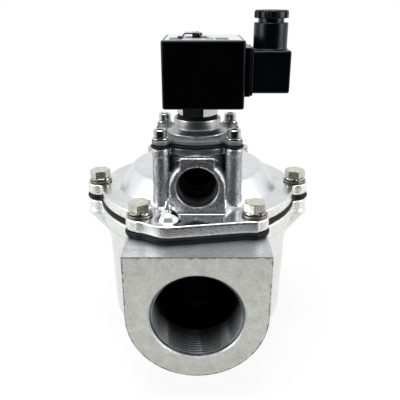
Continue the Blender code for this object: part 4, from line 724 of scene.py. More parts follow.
def dome_field(x, y, z):
    """A cone that narrows from the flange up, cut off flat and rounded there."""
    slope = np.array([DOME_TOP - FLANGE_TOP, DOME_FOOT_RADIUS - DOME_TOP_RADIUS])
    slope = slope / np.hypot(*slope)
    cone = (np.hypot(x, y) - DOME_FOOT_RADIUS) * slope[0] + (z - FLANGE_TOP) * slope[1]
    return np.maximum(kept(cone, z - DOME_TOP, 1.6), BONNET_FOOT + 1.0 - z)


def column_field(x, y, z, spot):
    """A round column that narrows a little from the flange to the rim, so it leaves the mould."""
    share = np.clip((z - FLANGE_TOP) / (TOWER_TOP - FLANGE_TOP), 0, 1)
    radius = COLUMN_FOOT_RADIUS - COLUMN_TAPER * share
    return np.maximum(round_to(x, y, *spot, radius), between(z, FLANGE_TOP - 2, TOWER_TOP - 2))


def port_field(x, y, z):
    """The port's boss, an arch over a foot, with its rounded front and the flat tab."""
    arch = np.where(z < PORT_AXIS, np.abs(x), np.hypot(x, z - PORT_AXIS)) - PORT_HALF
    depth = np.maximum(between(y, -PORT_FACE, -FORWARD - 10.0), FLANGE_TOP - 3.0 - z)
    boss = plate_field(arch, depth, 1.2 + 1.6 * np.clip((z - PORT_AXIS) / 6.0, 0, 1))
    tab = block_field(x, y, z, (-TAB_HALF, -PORT_FACE, PORT_AXIS), (TAB_HALF, -PORT_FACE + 3.4, TAB_TOP), 0.6)
    return joined(boss, tab, 0.5)


def hump_field(x, y, z):
    """The bleed's rounded hump, and the ridge that leads its passage back to the tower."""
    dx, dy, dz = x - HUMP[0], y - HUMP[1], z - FLANGE_TOP
    across, up = (dx / HUMP_RADIUS) ** 2 + (dy / HUMP_RADIUS) ** 2, (dz / HUMP_RISE) ** 2
    ball = (np.sqrt(across + up) - 1) * HUMP_RISE
    share = np.clip(dy / 26.0, 0, 1)
    ridge = np.hypot(dx, dz - 3.0) - (3.0 - 1.2 * share)
    ridge = np.maximum(ridge, between(y, HUMP[1], -FORWARD - 20.0))
    return joined(ball, ridge, 2.0)


def base_field(x, y, z):
    """Flange and dome."""
    flange = plate_field(flange_outline(x, y), between(z, BONNET_FOOT, FLANGE_TOP), 1.0)
    return joined(flange, dome_field(x, y, z), 1.3)


def tower_field(x, y, z):
    """Round wall, rim and four columns."""
    yp = y + FORWARD
    tower = np.maximum(np.hypot(x, yp) - TOWER_RADIUS, between(z, FLANGE_TOP - 4, TOWER_TOP - 2))
    rim = plate_field(pilot_outline(x, yp), between(z, TOWER_TOP - 5.0, TOWER_TOP), 0.7)
    tower = joined(tower, rim, 2.0)
    for spot in SCREW_SPOTS:
        tower = joined(tower, column_field(x, yp, z, spot), 1.0)
    return tower


def bonnet_field(x, y, z):
    """The whole casting, with a fillet of its own at each meeting."""
    shape = joined(base_field(x, y, z), tower_field(x, y, z), 0.9)
    shape = joined(shape, port_field(x, y, z), 0.7)
    return joined(shape, hump_field(x, y, z), 2.0)


bonnet = skin("bonnet_casting", bonnet_field, (-86, -86, BONNET_FOOT - 3), (86, 77, TOWER_TOP + 3),
              BONNET_CELL, VALVE, SMOOTH_CAST, SAND_CAST, EDGE_CAST, POLISHED_CAST, WALL_CAST, MIRROR_CAST)

# %% [markdown]
# The flange of the bonnet was rubbed smooth, while columns and boss kept the grain
# of their mould. The tower's deep walls and the feet of its forms lie in shade, and
# are darker. The flange's edge is pale and rough, the dome's cone polished, and the
# hump like a mirror. Each face gets its finish from where its middle lies.
# %% Finishes on the bonnet
x, y, z = face_middles(bonnet, VALVE)
base, tower, port = base_field(x, y, z), tower_field(x, y, z), port_field(x, y, z)
on_tower = (np.minimum(tower, port) < base) & (z > FLANGE_TOP + 0.4)
from_column = np.min([round_to(x, y + FORWARD, *spot, 6.6) for spot in SCREW_SPOTS], axis=0)
on_wall = on_tower & (((from_column > 0) & (port > 0.7)) | (z < FLANGE_TOP + 1.3))
on_edge = (z < FLANGE_TOP - 0.6) & (flange_outline(x, y) > -2.0)
on_cone = (np.abs(np.hypot(x, y) - 52.5) < 5.8) & (z > FLANGE_TOP + 0.6) & (z < DOME_TOP - 0.8)
on_cone &= np.minimum(tower, port) > 6.0
on_hump = hump_field(x, y, z) < 0.8
number_faces(bonnet, np.select([on_hump, on_wall, on_tower, on_edge, on_cone], [5, 4, 1, 2, 3], 0))
print("bonnet: %d tower faces, %d edge faces" % (on_tower.sum(), on_edge.sum()))

# %% [markdown]
# From below the bonnet is hollow over the big diaphragm. Under the small diaphragm a
# ring-shaped chamber surrounds the pilot seat, and leads out through the port.
# %% Machining the bonnet
PORT_RADIUS, PORT_PITCH, PORT_CHAMFER = 13.2, 1.814, 0.8
SEAT_RADIUS = 8.0
CHAMBER_LOW = BONNET_FOOT + 23.7
BOLT_WAY, SCREW_WAY = 4.5, 2.8

cavity = turned("cavity", [
    (0, BONNET_FOOT + 18.2), (31, BONNET_FOOT + 18.2), (36, BONNET_FOOT + 14), (49, BONNET_FOOT + 5.7),
    (49, BONNET_FOOT - PAST), (0, BONNET_FOOT - PAST)], VALVE, SHADED_INSIDE_CAST, 128)
seat_bore = rod("seat_bore", SEAT_RADIUS, BONNET_FOOT + 12, TOWER_TOP + PAST, PILOT, SHADED_INSIDE_CAST, 64)
pilot_chamber = turned("pilot_chamber", [
    (21.5, CHAMBER_LOW), (21.5, TOWER_TOP + PAST), (SEAT_RADIUS + 3, TOWER_TOP + PAST),
    (SEAT_RADIUS + 3, CHAMBER_LOW)], PILOT, SHADED_INSIDE_CAST, loop=True)
port_at = VALVE + (0, 0, PORT_AXIS)
# The port's bore takes a dark finish: painted shade that deepens inwards.
port_tap = tap("port_tap", PORT_RADIUS, PORT_PITCH, PORT_CHAMFER, depth=14.0, throat=PORT_RADIUS / 2,
               face=PORT_FACE, end=PORT_FACE - 18.0, finish=SHADED_PORT_BORE, at=port_at, steps=96, plain=5.0)
passage = rod("port_passage", 9.5, FORWARD + SEAT_RADIUS + 5, PORT_FACE - 12.0, port_at + (0, 0, 5.0),
              SHADED_INSIDE_CAST, 48, lay="front")
combine(port_tap, "UNION", passage)
combine(cavity, "UNION", seat_bore, pilot_chamber, port_tap,
        *rods("bonnet_hole", BOLT_SPOTS, BOLT_WAY, BONNET_FOOT - PAST, FLANGE_TOP + PAST, VALVE, TURNED, 24),
        *rods("screw_hole", SCREW_SPOTS, SCREW_WAY, TOWER_TOP - 12, TOWER_TOP + PAST, PILOT, TURNED, 20))
combine(bonnet, "DIFFERENCE", cavity)
x, y, z = face_middles(bonnet, VALVE)
# The port's chamfer takes the darker wall finish too: painted shade.
around_port = np.abs(np.hypot(x, z - PORT_AXIS) - PORT_RADIUS - PORT_CHAMFER / 2) < PORT_CHAMFER / 2 + 0.05
on_chamfer = around_port & (y < -PORT_FACE + PORT_CHAMFER) & (of_faces(bonnet, "normal")[:, 1] > -0.9)
numbers = np.empty(len(x), np.int32)
bonnet.data.polygons.foreach_get("material_index", numbers)
number_faces(bonnet, np.where(on_chamfer, list(bonnet.data.materials).index(WALL_CAST), numbers))
mount(bonnet, "valve", "cast_aluminium", "bonnet",
      cast=(SMOOTH_CAST, SAND_CAST, EDGE_CAST, POLISHED_CAST, WALL_CAST, MIRROR_CAST, SHADED_INSIDE_CAST))

# %% [markdown]
# The pilot cover clamps the small diaphragm. Its lobed foot is cast, while the
# turret that takes the core tube was turned bright on a lathe, so the two are made
# apart and joined.
# %% The pilot cover
COVER_LOBE_TOP, COVER_RING_TOP = COVER_FOOT + 3.0, COVER_FOOT + 3.8
COVER_RING_RADIUS, COVER_CELL = 20.0, 0.62
TURRET_RADIUS, TURRET_BORE, TURRET_FLOOR = 15.6, 9.0, COVER_FOOT + 7.9
AIR_HOLE = 1.1


def cover_field(x, y, z):
    """Lobed plate, low ring and cone, about the pilot axis."""
    plate = plate_field(pilot_outline(x, y), between(z, COVER_FOOT, COVER_LOBE_TOP), 0.7)
    ring = np.hypot(x, y) - COVER_RING_RADIUS
    low_ring = plate_field(ring, between(z, COVER_FOOT + 1, COVER_RING_TOP), 0.4)
    cone = ring * 0.5 + (z - COVER_RING_TOP) * 0.87
    cone = np.maximum(cone, np.maximum(ring, between(z, COVER_FOOT + 1, COVER_FOOT + 6.3)))
    return joined(joined(plate, low_ring, 0.6), cone, 0.6)


cover = skin("pilot_cover_casting", cover_field, (-33, -33, COVER_FOOT - 2), (33, 33, COVER_FOOT + 9),
             COVER_CELL, PILOT, COVER_CAST, TURNED)
x, y, z = face_middles(cover, PILOT)
number_faces(cover, (np.hypot(x, y) < COVER_RING_RADIUS + 0.4) & (z > COVER_LOBE_TOP + 0.15))
turret = turned("turret", [
    (0, COVER_TOP), (TURRET_RADIUS - 0.9, COVER_TOP), (TURRET_RADIUS - 0.25, COVER_TOP - 0.3),
    (TURRET_RADIUS, COVER_TOP - 0.9), (TURRET_RADIUS, COVER_FOOT + 7.0),
    (TURRET_RADIUS + 0.5, COVER_FOOT + 6.2), (TURRET_RADIUS - 2, COVER_FOOT + 4.0), (0, COVER_FOOT + 4.0)],
    PILOT, TURNED, 128)
hollow = turned("cover_hollow", [
    (0, COVER_FOOT + 6.2), (5.6, COVER_FOOT + 6.2), (5.6, COVER_FOOT + 4.3), (14, COVER_FOOT + 4.3),
    (20.6, COVER_FOOT + 1.5), (20.6, COVER_FOOT - PAST), (0, COVER_FOOT - PAST)], PILOT, TURNED)
turret_bore = turned("turret_bore", [
    (TURRET_BORE, TURRET_FLOOR), (TURRET_BORE, COVER_TOP - 0.5), (TURRET_BORE + 0.5, COVER_TOP),
    (TURRET_BORE + 0.5 + PAST, COVER_TOP + PAST), (0, COVER_TOP + PAST), (0, TURRET_FLOOR + 1.4),
    (3.0, TURRET_FLOOR + 1.4), (3.0, TURRET_FLOOR)], PILOT, TURNED)
nozzle_hole = rod("nozzle_hole", AIR_HOLE, COVER_FOOT + 3, TURRET_FLOOR + 3, PILOT, TURNED, 24)
vent = rod("vent", AIR_HOLE, COVER_FOOT + 2, TURRET_FLOOR + 2, PILOT + (7.0, 0, 0), TURNED, 24)
combine(hollow, "UNION", turret_bore, nozzle_hole, vent,
        *rods("cover_hole", SCREW_SPOTS, SCREW_WAY, COVER_FOOT - PAST, COVER_FOOT + 9, PILOT, TURNED, 20))
combine(cover, "UNION", turret)
combine(cover, "DIFFERENCE", hollow)
mount(cover, "valve", "cast_aluminium", "pilot_cover", cast=(COVER_CAST,))

# %% [markdown]
# Rubber has no shine to speak of, but a moulded sheet has a soft sheen on its cut
# edge and a little talcum dust. Zinc plating is yellowish and clouded, steel from
# the lathe is bright with rings round its axis.
# %% Rubber, zinc and steel


def rubber(name, colour, dust):
    """Matt black with a broad sheen; dust is how far it greys in patches."""
    material, tree, place = new_finish(name)
    clouds = ramp_node(tree, noise_node(tree, place, 120.0, 4.0), 0.45, 0.75, 0.0, dust)
    surface(tree, {"Base Color": mix_node(tree, clouds, colour, (0.012, 0.013, 0.015)),
                   "Roughness": ramp_node(tree, clouds, 0.0, 1.0, 0.4, 0.55), "Specular IOR Level": 0.14,
                   "Normal": bump_node(tree, noise_node(tree, place, 1800.0, 2.0), 0.00008)})
    return material


RUBBER = rubber("black_rubber", (0.003, 0.0033, 0.004), 0.5)
ZINC = metal("zinc_plate", (0.70, 0.69, 0.60), (0.50, 0.49, 0.42), (0.16, 0.26), 1300.0, 0.00008,
             pits=0.5, cloud=260.0)
# Painted shade: the flat washers are darkened for the shadow under the bolt heads.
SHADED_ZINC = metal("shaded_zinc_plate", (0.30, 0.30, 0.27), (0.12, 0.12, 0.11), (0.34, 0.46), 1300.0, 0.0001,
                  pits=0.4, cloud=260.0)
STAINLESS = metal("stainless_steel", (0.62, 0.62, 0.61), (0.41, 0.41, 0.42), (0.14, 0.22), 1600.0, 0.00001,
                  cloud=260.0, streak=0.2)
# Painted shade: the core tube's stud under the clip is made near black for the shade there.
SHADED_STUD_STEEL = metal("shaded_stud_steel", (0.06, 0.06, 0.062), (0.03, 0.03, 0.03), (0.35, 0.45), 1400.0, 0.00003)
SPRING_STEEL = metal("spring_steel", (0.62, 0.62, 0.60), (0.48, 0.48, 0.47), (0.22, 0.34), 1200.0, 0.00001)
print("rubber and steel ready")

# %% [markdown]
# Between the castings only the rim of each diaphragm shows. Squeezed by the bolts,
# its edge bulges a little, which makes the soft line of light on it. The outline of
# the castings is found by stepping outwards along each direction until the field
# there says the metal has ended.
# %% Diaphragm rims
SQUEEZED, OVERHANG = 0.06, 1.0
MAIN_RUBBER = BODY_TOP + SQUEEZED, BONNET_FOOT - SQUEEZED
PILOT_RUBBER = TOWER_TOP + GAP, COVER_FOOT - GAP
MAIN_FREE, PILOT_FREE = 50.0, 19.5


def outline_radius(outline, turn, start, end):
    """Distance from the axis at which an outline ends, halved in on 40 times."""
    low, high = np.full(turn.shape, start), np.full(turn.shape, end)
    for _ in range(40):
        mid = (low + high) / 2
        inside = outline(mid * np.cos(turn), mid * np.sin(turn)) < 0
        low, high = np.where(inside, mid, low), np.where(inside, high, mid)
    return low


def rim(name, outline, far, inner, foot, top, at, steps):
    """A flat ring from a free inner edge to a bulging edge that follows an outline.

    r = outline + overhang - 0.45 (top - foot) (1 - cos s), for s from -90 to 90
    degrees over the thickness.
    """
    turn = around(steps)
    edge = outline_radius(outline, turn, inner + 1, far)
    s = np.linspace(-np.pi / 2, np.pi / 2, 9)
    bulge = OVERHANG - 0.45 * (top - foot) * (1 - np.cos(s))
    height = (foot + top) / 2 + (top - foot) / 2 * np.sin(s)
    rows = [(inner, foot), *zip(edge + bulge[:, None], height), (inner, top)]
    return wound(name, rows, turn, at, RUBBER, loop=True)


main_rim = rim("main_diaphragm_rim", flange_outline, 95.0, MAIN_FREE, *MAIN_RUBBER, VALVE, 720)
combine(main_rim, "DIFFERENCE",
        *rods("rim_hole", BOLT_SPOTS, BOLT_WAY, MAIN_RUBBER[0] - 2, MAIN_RUBBER[1] + 2, VALVE, RUBBER, 24))
mount(main_rim, "valve", "black_rubber", angle=50.0)
pilot_rim = rim("pilot_diaphragm_rim", pilot_outline, 45.0, PILOT_FREE, *PILOT_RUBBER, PILOT, 360)
combine(pilot_rim, "DIFFERENCE", *rods("pilot_rim_hole", SCREW_SPOTS, SCREW_WAY, PILOT_RUBBER[0] - 2,
        PILOT_RUBBER[1] + 2, PILOT, RUBBER, 20))
mount(pilot_rim, "valve", "black_rubber", angle=50.0)

# %% [markdown]
# A bolt head is forged to a hexagon and then turned, so its six corners are cut by
# one shallow cone, which gives the arcs that meet at each flat. In the grid, each
# row is a hexagon up to the height where the cone is closer in.
# %% Hexagon heads, shanks and washers


def hexagon(turn, across, start=0.0):
    """Radius of a hexagon of a width across its flats, in every direction."""
    sector = (turn - start + np.pi / 6) % (np.pi / 3) - np.pi / 6
    return across / 2 / np.cos(sector)


def hex_head(name, across, foot, top, at, finish, start=0.0, hole=0.0, drop=0.32, low_drop=0.0, steps=144):
    """A hexagon head: at each angle the wall ends where the chamfer cone cuts it.

    The cone falls by drop for each millimetre outwards from the circle within the
    flats. hole leaves it open through the middle.
    """
    turn = around(steps)
    wall, inner = hexagon(turn, across, start), across / 2 * 0.94
    high, low = top - drop * (wall - inner), foot + low_drop * (wall - inner)
    rows = [(hole, foot), (inner, foot)]
    rows += [(wall, low + (high - low) * share) for share in (0.0, 0.04, 0.3, 0.7, 0.96, 1.0)]
    rows += [((wall + inner) / 2, (high + top) / 2),
             *((r, top) for r in (inner, inner * 0.86, inner * 0.8, hole))]
    return wound(name, rows, turn, at, finish, loop=bool(hole))


def shank(name, radius, pitch, foot, top, plain, at, finish, steps=48, lay=None):
    """A threaded shank with a tapered tip and a plain neck of a length under the head."""
    turn = around(steps)
    t, s = np.meshgrid(turn, np.arange(foot, top - plain, pitch / ROWS_A_PITCH))
    ridged = radius - 0.61 * pitch * (1 - thread_wave(t, s, pitch))
    ridged = np.minimum(ridged, radius - 0.8 * pitch + (s - foot))
    neck = [(radius - 0.3 * pitch, top - plain), (radius - 0.3 * pitch, top)] if plain else []
    return wound(name, [(0.0, foot), *zip(ridged, s), *neck], turn, at, finish, lay)


def helical_washer(name, inner, outer, foot, top, climb, gap, slot_turn, at, finish, steps=96):
    """A split spring washer: a square ring that climbs a little over one turn less a slot."""
    half_slot = gap / (inner + outer)
    start = slot_turn + half_slot
    turn = np.linspace(start, start + 2 * np.pi - 2 * half_slot, steps)
    rise = np.linspace(-climb / 2, climb / 2, steps)
    edge, middle = 0.12, (foot + top) / 2
    corners = [(inner, foot + edge), (inner + edge, foot), (outer - edge, foot), (outer, foot + edge),
               (outer, top - edge), (outer - edge, top), (inner + edge, top), (inner, top - edge)]
    rows = [(r, middle + (h - middle) * (1 - climb / (top - foot)) + rise) for r, h in corners]
    return wound(name, rows, turn, at, finish, ring=False, loop=True)


def flat_washer(name, inner, outer, foot, top, at, finish):
    """A punched washer: rounded on the side where the punch went in."""
    edge = (top - foot) * 0.25
    profile = [(inner, foot), (outer - edge * 0.4, foot), (outer, foot + edge * 0.4), (outer, top - edge),
               (outer - edge * 0.35, top - edge * 0.25), (outer - edge, top), (inner + edge, top),
               (inner, top - edge)]
    return turned(name, profile, at, finish, 72, loop=True)


print("fastener helpers ready")

# %% [markdown]
# Six M8 bolts clamp the bonnet. Under each head lie a split spring washer and a flat
# washer, and no two heads stopped at the same angle.
# %% Bonnet bolts
M8_RADIUS, M8_PITCH, M8_ACROSS, M8_PLAIN = 4.0, 1.25, 13.0, 6.0
M8_WASHER_BORE, SPLIT_WASHER_RADIUS, FLAT_WASHER_RADIUS = 4.3, 7.1, 8.2
BOLT_HEAD_FOOT, BOLT_HEAD_TOP = FLANGE_TOP + 4.1, FLANGE_TOP + 9.4
BOLT_TIP = BODY_TOP - 11.0
OVERLAP = 0.4
HEAD_TURNS = np.radians((13.0, 52.0, 3.0, 43.3, 55.3, 54.0))
SLOT_TURNS = np.radians((-100.0, 66.0, 99.0, -50.0, -81.0, -62.0))
for number, (head_turn, slot_turn) in enumerate(zip(HEAD_TURNS, SLOT_TURNS), 1):
    node, spring_node = "bonnet_bolt_%d" % number, "bonnet_spring_washer_%d" % number
    flat_node = "bonnet_flat_washer_%d" % number
    spot = axis_of(node)
    head = hex_head(node + "_look", M8_ACROSS, BOLT_HEAD_FOOT, BOLT_HEAD_TOP, spot, ZINC, start=head_turn)
    shaft = shank(node + "_shank", M8_RADIUS, M8_PITCH, BOLT_TIP, BOLT_HEAD_FOOT + OVERLAP, M8_PLAIN, spot,
                  ZINC)
    combine(head, "UNION", shaft)
    mount(head, "valve", "zinc_steel", node, angle=28.0)
    split = helical_washer(spring_node + "_look", M8_WASHER_BORE, SPLIT_WASHER_RADIUS, *ends(spring_node),
                           climb=0.35, gap=1.2, slot_turn=slot_turn, at=spot, finish=ZINC)
    mount(split, "valve", "zinc_steel", spring_node, angle=28.0)
    # The flat washer's dark finish is painted shade under the head.
    flat = flat_washer(flat_node + "_look", M8_WASHER_BORE, FLAT_WASHER_RADIUS, *ends(flat_node), spot,
                       SHADED_ZINC)
    mount(flat, "valve", "zinc_steel", flat_node, angle=28.0)

# %% [markdown]
# Four M5 socket screws hold the pilot cover. Their heads are cylinders with a fine
# straight knurl for the fingers and a hexagon socket.
# %% Pilot screws
KNURL_COUNT = 40
M5_RADIUS, M5_PITCH, M5_PLAIN = 2.5, 0.8, 2.0
M5_HEAD_RADIUS, M5_HEAD_HEIGHT, M5_SOCKET, M5_SOCKET_DEPTH = 4.25, 5.0, 4.4, 2.5
M5_WASHER_BORE, M5_WASHER_RADIUS = 2.7, 5.0
FIRST_SOCKET_TURN, SOCKET_TURN_STEP = 30.0, 17.0


def socket_screw(name, spot, radius, foot, top, across, sunk, tip, finish, start):
    """A knurled cylinder head with a hexagon socket on a threaded shank.

    Over the knurled height r = radius - 0.05 (1 - |cos(20 t)|), the corners rounded.
    """
    turn = around(KNURL_COUNT * 4)
    knurl = radius - 0.05 * (1 - np.abs(np.cos(KNURL_COUNT / 2 * turn)))
    plain = radius - 0.14
    wall = hexagon(turn, across, start)
    rows = [(0.0, foot), (plain - 0.15, foot), (plain, foot + 0.15), (knurl, foot + 0.3),
            (knurl, foot + 0.4), (knurl, top - 0.5), (knurl, top - 0.4), (plain, top - 0.3),
            (plain, top - 0.2), (plain - 0.2, top), (wall + 0.2, top), (wall, top - 0.2), (wall, top - sunk),
            (wall * 0.5, top - sunk - 0.3), (0.0, top - sunk - 0.4)]
    shaft = shank(name + "_shank", M5_RADIUS, M5_PITCH, tip, foot + OVERLAP, M5_PLAIN, spot, finish, 32)
    return combine(wound(name, rows, turn, spot, finish), "UNION", shaft)


for number in range(1, 5):
    node, washer_node = "pilot_screw_%d" % number, "pilot_washer_%d" % number
    spot = axis_of(node)
    tip, top = ends(node)
    screw = socket_screw(node + "_look", spot, M5_HEAD_RADIUS, top - M5_HEAD_HEIGHT, top, M5_SOCKET,
                         M5_SOCKET_DEPTH, tip, STAINLESS,
                         np.radians(FIRST_SOCKET_TURN + SOCKET_TURN_STEP * number))
    mount(screw, "valve", "stainless_steel", node, angle=32.0)
    washer = flat_washer(washer_node + "_look", M5_WASHER_BORE, M5_WASHER_RADIUS, *ends(washer_node), spot,
                         STAINLESS)
    mount(washer, "valve", "stainless_steel", washer_node, angle=28.0)

# %% [markdown]
# Inside the rim the sheet is moulded with a fold, which rolls up when the piston
# lifts. It is drawn as twelve equal wedges, each along its own radius.
# The middle of the sheet is held flat between the piston's plates.
# %% The folded sheets
WEDGES = 12
MAIN_CLAMPED, PILOT_CLAMPED = 33.0, 11.0
MAIN_FOLD, PILOT_FOLD = (35.0, 48.0, 3.6), (12.0, 18.5, 1.8)
HUB_HOLE, RIVET_HOLE = 4.3, 1.9


def wedge(name, inner, outer, foot, top, fold, number, at):
    """One sector of a folded sheet; a fold is where it starts and ends, and its height.

    The sheet rises by height sin(pi s), where s runs 0 to 1 over the fold.
    """
    start, end, height = fold
    half = np.pi / WEDGES
    turn = np.linspace(-half, half, 13) + 2 * half * number
    along = np.linspace(inner, outer, 31)
    rise = height * np.sin(np.pi * np.clip((along - start) / (end - start), 0, 1))
    radius = np.concatenate([along, along[::-1]])
    x, y = np.outer(np.cos(turn), radius), np.outer(np.sin(turn), radius)
    z = np.concatenate([top + rise, (foot + rise)[::-1]])
    return grid(name, x, y, np.broadcast_to(z, x.shape), at, RUBBER)


def bending_sheet(name, piston, inner, outer, foot, top, fold, at):
    """Every wedge of a diaphragm, made and shaded."""
    for number in range(WEDGES):
        sector = wedge("%s_wedge_%d" % (name, number + 1), inner, outer, foot, top, fold, number, at)
        shade(sector, 40.0)
        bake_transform(sector)


def clamped_sheet(name, piston, inner, outer, foot, top, at, node):
    """The middle of a diaphragm, which stands for the solid of the whole."""
    disc = turned(name, [(inner, foot), (outer, foot), (outer, top), (inner, top)], at, RUBBER, loop=True)
    mount(disc, piston, "black_rubber", node, angle=40.0)


main_sheet = ends("main_lower_disc")[1] + GAP, ends("main_upper_plate")[0] - GAP
pilot_sheet = ends("pilot_lower_plate")[1] + GAP, ends("pilot_upper_plate")[0] - GAP
bending_sheet("main_membrane", "main_piston", MAIN_CLAMPED, MAIN_FREE, *main_sheet, MAIN_FOLD, VALVE)
bending_sheet("pilot_membrane", "pilot_piston", PILOT_CLAMPED, PILOT_FREE, *pilot_sheet, PILOT_FOLD, PILOT)
clamped_sheet("main_membrane_middle", "main_piston", HUB_HOLE, MAIN_CLAMPED, *main_sheet, VALVE,
              "main_diaphragm")
clamped_sheet("pilot_membrane_middle", "pilot_piston", RIVET_HOLE, PILOT_CLAMPED, *pilot_sheet, PILOT,
              "pilot_diaphragm")

# %% [markdown]
# Above and below the sheet, the piston is made of pressed and turned steel discs
# held by one bolt and nut. They hide inside, but show in a cut-away or when the
# valve is taken apart. The small piston has two plates and a rivet.
# %% Main piston and pilot piston


def turned_part(node, profile, at, finish, body, slot, angle, steps=96, loop=True):
    """A turned piece that stands for the solid of its node."""
    return mount(turned(node + "_look", profile, at, finish, steps, loop), body, slot, node, angle=angle)


low, high = ends("main_lower_disc")
turned_part("main_lower_disc", [
    (24.0, high - 0.2), (23.8, high), (HUB_HOLE, high), (HUB_HOLE, low), (22.4, low), (23.4, low + 0.4),
    (24.0, low + 1.4)], VALVE, STAINLESS, "main_piston", "stainless_steel", 25.0)
low, high = ends("main_upper_plate")
turned_part("main_upper_plate", [
    (31.6, low), (32.5, low + 0.4), (33.0, low + 1.1), (33.0, high - 0.3), (32.7, high), (32.2, high),
    (31.9, high - 0.3), (31.4, low + 2.1), (30.6, low + 2.0), (HUB_HOLE, low + 2.0), (HUB_HOLE, low)],
    VALVE, STAINLESS, "main_piston", "stainless_steel", 25.0)
low, high = ends("main_hub_nut")
hub_nut = hex_head("main_hub_nut_look", M8_ACROSS, low, high, VALVE, ZINC, hole=HUB_HOLE, low_drop=0.32)
mount(hub_nut, "main_piston", "zinc_steel", "main_hub_nut", angle=28.0)
low, high = ends("main_hub_bolt")
hub_bolt = turned("main_hub_bolt_look", [
    (0, low), (5.6, low), (6.8, low + 0.35), (7.7, low + 1.1), (8.0, low + 2.2), (3.4, low + 2.2),
    (3.4, low + 4.0), (0, low + 4.0)], VALVE, ZINC)
combine(hub_bolt, "UNION", shank("main_hub_thread", M8_RADIUS, M8_PITCH, low + 3.0, high, 0.0, VALVE, ZINC))
mount(hub_bolt, "main_piston", "zinc_steel", "main_hub_bolt", angle=28.0)

low, high = ends("pilot_lower_plate")
turned_part("pilot_lower_plate", [
    (RIVET_HOLE, low), (6.7, low), (7.0, low + 0.3), (7.0, high), (RIVET_HOLE, high)],
    PILOT, STAINLESS, "pilot_piston", "stainless_steel", 25.0)
low, high = ends("pilot_upper_plate")
turned_part("pilot_upper_plate", [
    (RIVET_HOLE, low), (11.0, low), (11.0, high - 0.3), (10.7, high), (RIVET_HOLE, high)],
    PILOT, STAINLESS, "pilot_piston", "stainless_steel", 25.0)
low, high = ends("pilot_rivet")
turned_part("pilot_rivet", [
    (0, low), (1.6, low + 0.05), (2.7, low + 0.35), (3.4, low + 1.0), (1.6, low + 1.0), (1.6, high - 1.0),
    (3.4, high - 1.0), (2.7, high - 0.35), (1.6, high - 0.05), (0, high)],
    PILOT, ZINC, "pilot_piston", "zinc_steel", 40.0, 64, False)

# %% [markdown]
# Three springs push the valve shut. Each is a wire along a helix whose ends are wound
# nearly flat.
# %% Springs
STEPS_A_TURN, WIRE_STEPS = 60, 14


def spring(node, radius, wire_radius, turns, at):
    """A wire round a helix with its centre at (R cos t, R sin t, h).

    h rises as u - 0.75 sin(2 pi u) / (2 pi) over the share u of its length, so the
    first and last turns lie nearly flat.
    """
    foot, top = ends(node)
    u = np.linspace(0, 1, int(turns * STEPS_A_TURN) + 1)
    t = (2 * np.pi * turns * u)[:, None]
    rise = u - np.sin(2 * np.pi * u) / (2 * np.pi) * 0.75
    h = foot + wire_radius + (top - foot - 2 * wire_radius) * rise
    section = around(WIRE_STEPS)
    reach = radius + wire_radius * np.cos(section)
    z = h[:, None] + wire_radius * np.sin(section)
    piece = grid(node + "_look", reach * np.cos(t), reach * np.sin(t), z, at, SPRING_STEEL)
    mount(piece, "valve", "stainless_steel", node, angle=50.0)
    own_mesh(piece)


spring("main_spring", radius=11.0, wire_radius=1.0, turns=3.0, at=VALVE)
spring("pilot_spring", radius=4.6, wire_radius=0.45, turns=3.0, at=PILOT)
spring("core_spring", radius=2.6, wire_radius=0.35, turns=5.0, at=PILOT)

# %% [markdown]
# The core is a plain steel plunger with a rubber disc in its nose. It slides in a
# closed tube, whose foot is a hexagon that screws the whole pilot into the turret.
# %% Core and core tube
CORE_RADIUS, NOSE_RADIUS, TUBE_BORE = 5.6, 3.7, 5.9
HEX_ACROSS, HEX_TURN = 24.2, np.radians(30.0 - 13.7)
SEAL_FOOT, SEAL_TOP = ends("tube_seal")
HEX_FOOT = SEAL_TOP + GAP
HEX_TOP = HEX_FOOT + 7.6
BORE_END = SEAL_TOP + 28.3
COIL_TOP_LEVEL = ends("coil")[1]
TUBE_FOOT, STUD_TOP = ends("core_tube")

low, high = ends("core")
turned_part("core", [
    (5.0, low), (CORE_RADIUS, low + 0.6), (CORE_RADIUS, high - 0.4), (5.2, high), (3.7, high),
    (3.4, high - 0.3), (3.4, high - 11.0), (0, high - 11.0), (0, low + 2.1), (NOSE_RADIUS, low + 2.1),
    (NOSE_RADIUS, low)], PILOT, STAINLESS, "core", "stainless_steel", 30.0, 64)
low, high = ends("core_seat_disc")
turned_part("core_seat_disc", [(0, low), (3.1, low), (3.4, low + 0.3), (3.4, high), (0, high)],
            PILOT, RUBBER, "core", "black_rubber", 40.0, 48, False)
half, arc = (SEAL_TOP - SEAL_FOOT) / 2, np.linspace(-np.pi / 2, np.pi / 2, 7)
bulge = [*zip(13.3 + 0.3 * np.cos(arc), SEAL_FOOT + half + half * np.sin(arc))]
turned_part("tube_seal", [(9.0, SEAL_FOOT), *bulge, (9.0, SEAL_TOP)], PILOT, RUBBER, "valve", "black_rubber",
            40.0)

nut = hex_head("core_tube_look", HEX_ACROSS, HEX_FOOT, HEX_TOP, PILOT, STAINLESS, start=HEX_TURN, drop=0.42,
               low_drop=0.3, steps=192)
tube = turned("tube", [
    (0, COIL_TOP_LEVEL - 0.1), (6.8, COIL_TOP_LEVEL - 0.1), (7.2, COIL_TOP_LEVEL - 0.5), (7.2, HEX_FOOT + 3),
    (8.7, HEX_FOOT + 3), (8.7, TUBE_FOOT + 0.4), (8.3, TUBE_FOOT), (TUBE_BORE, TUBE_FOOT),
    (TUBE_BORE, BORE_END), (0, BORE_END)], PILOT, STAINLESS)
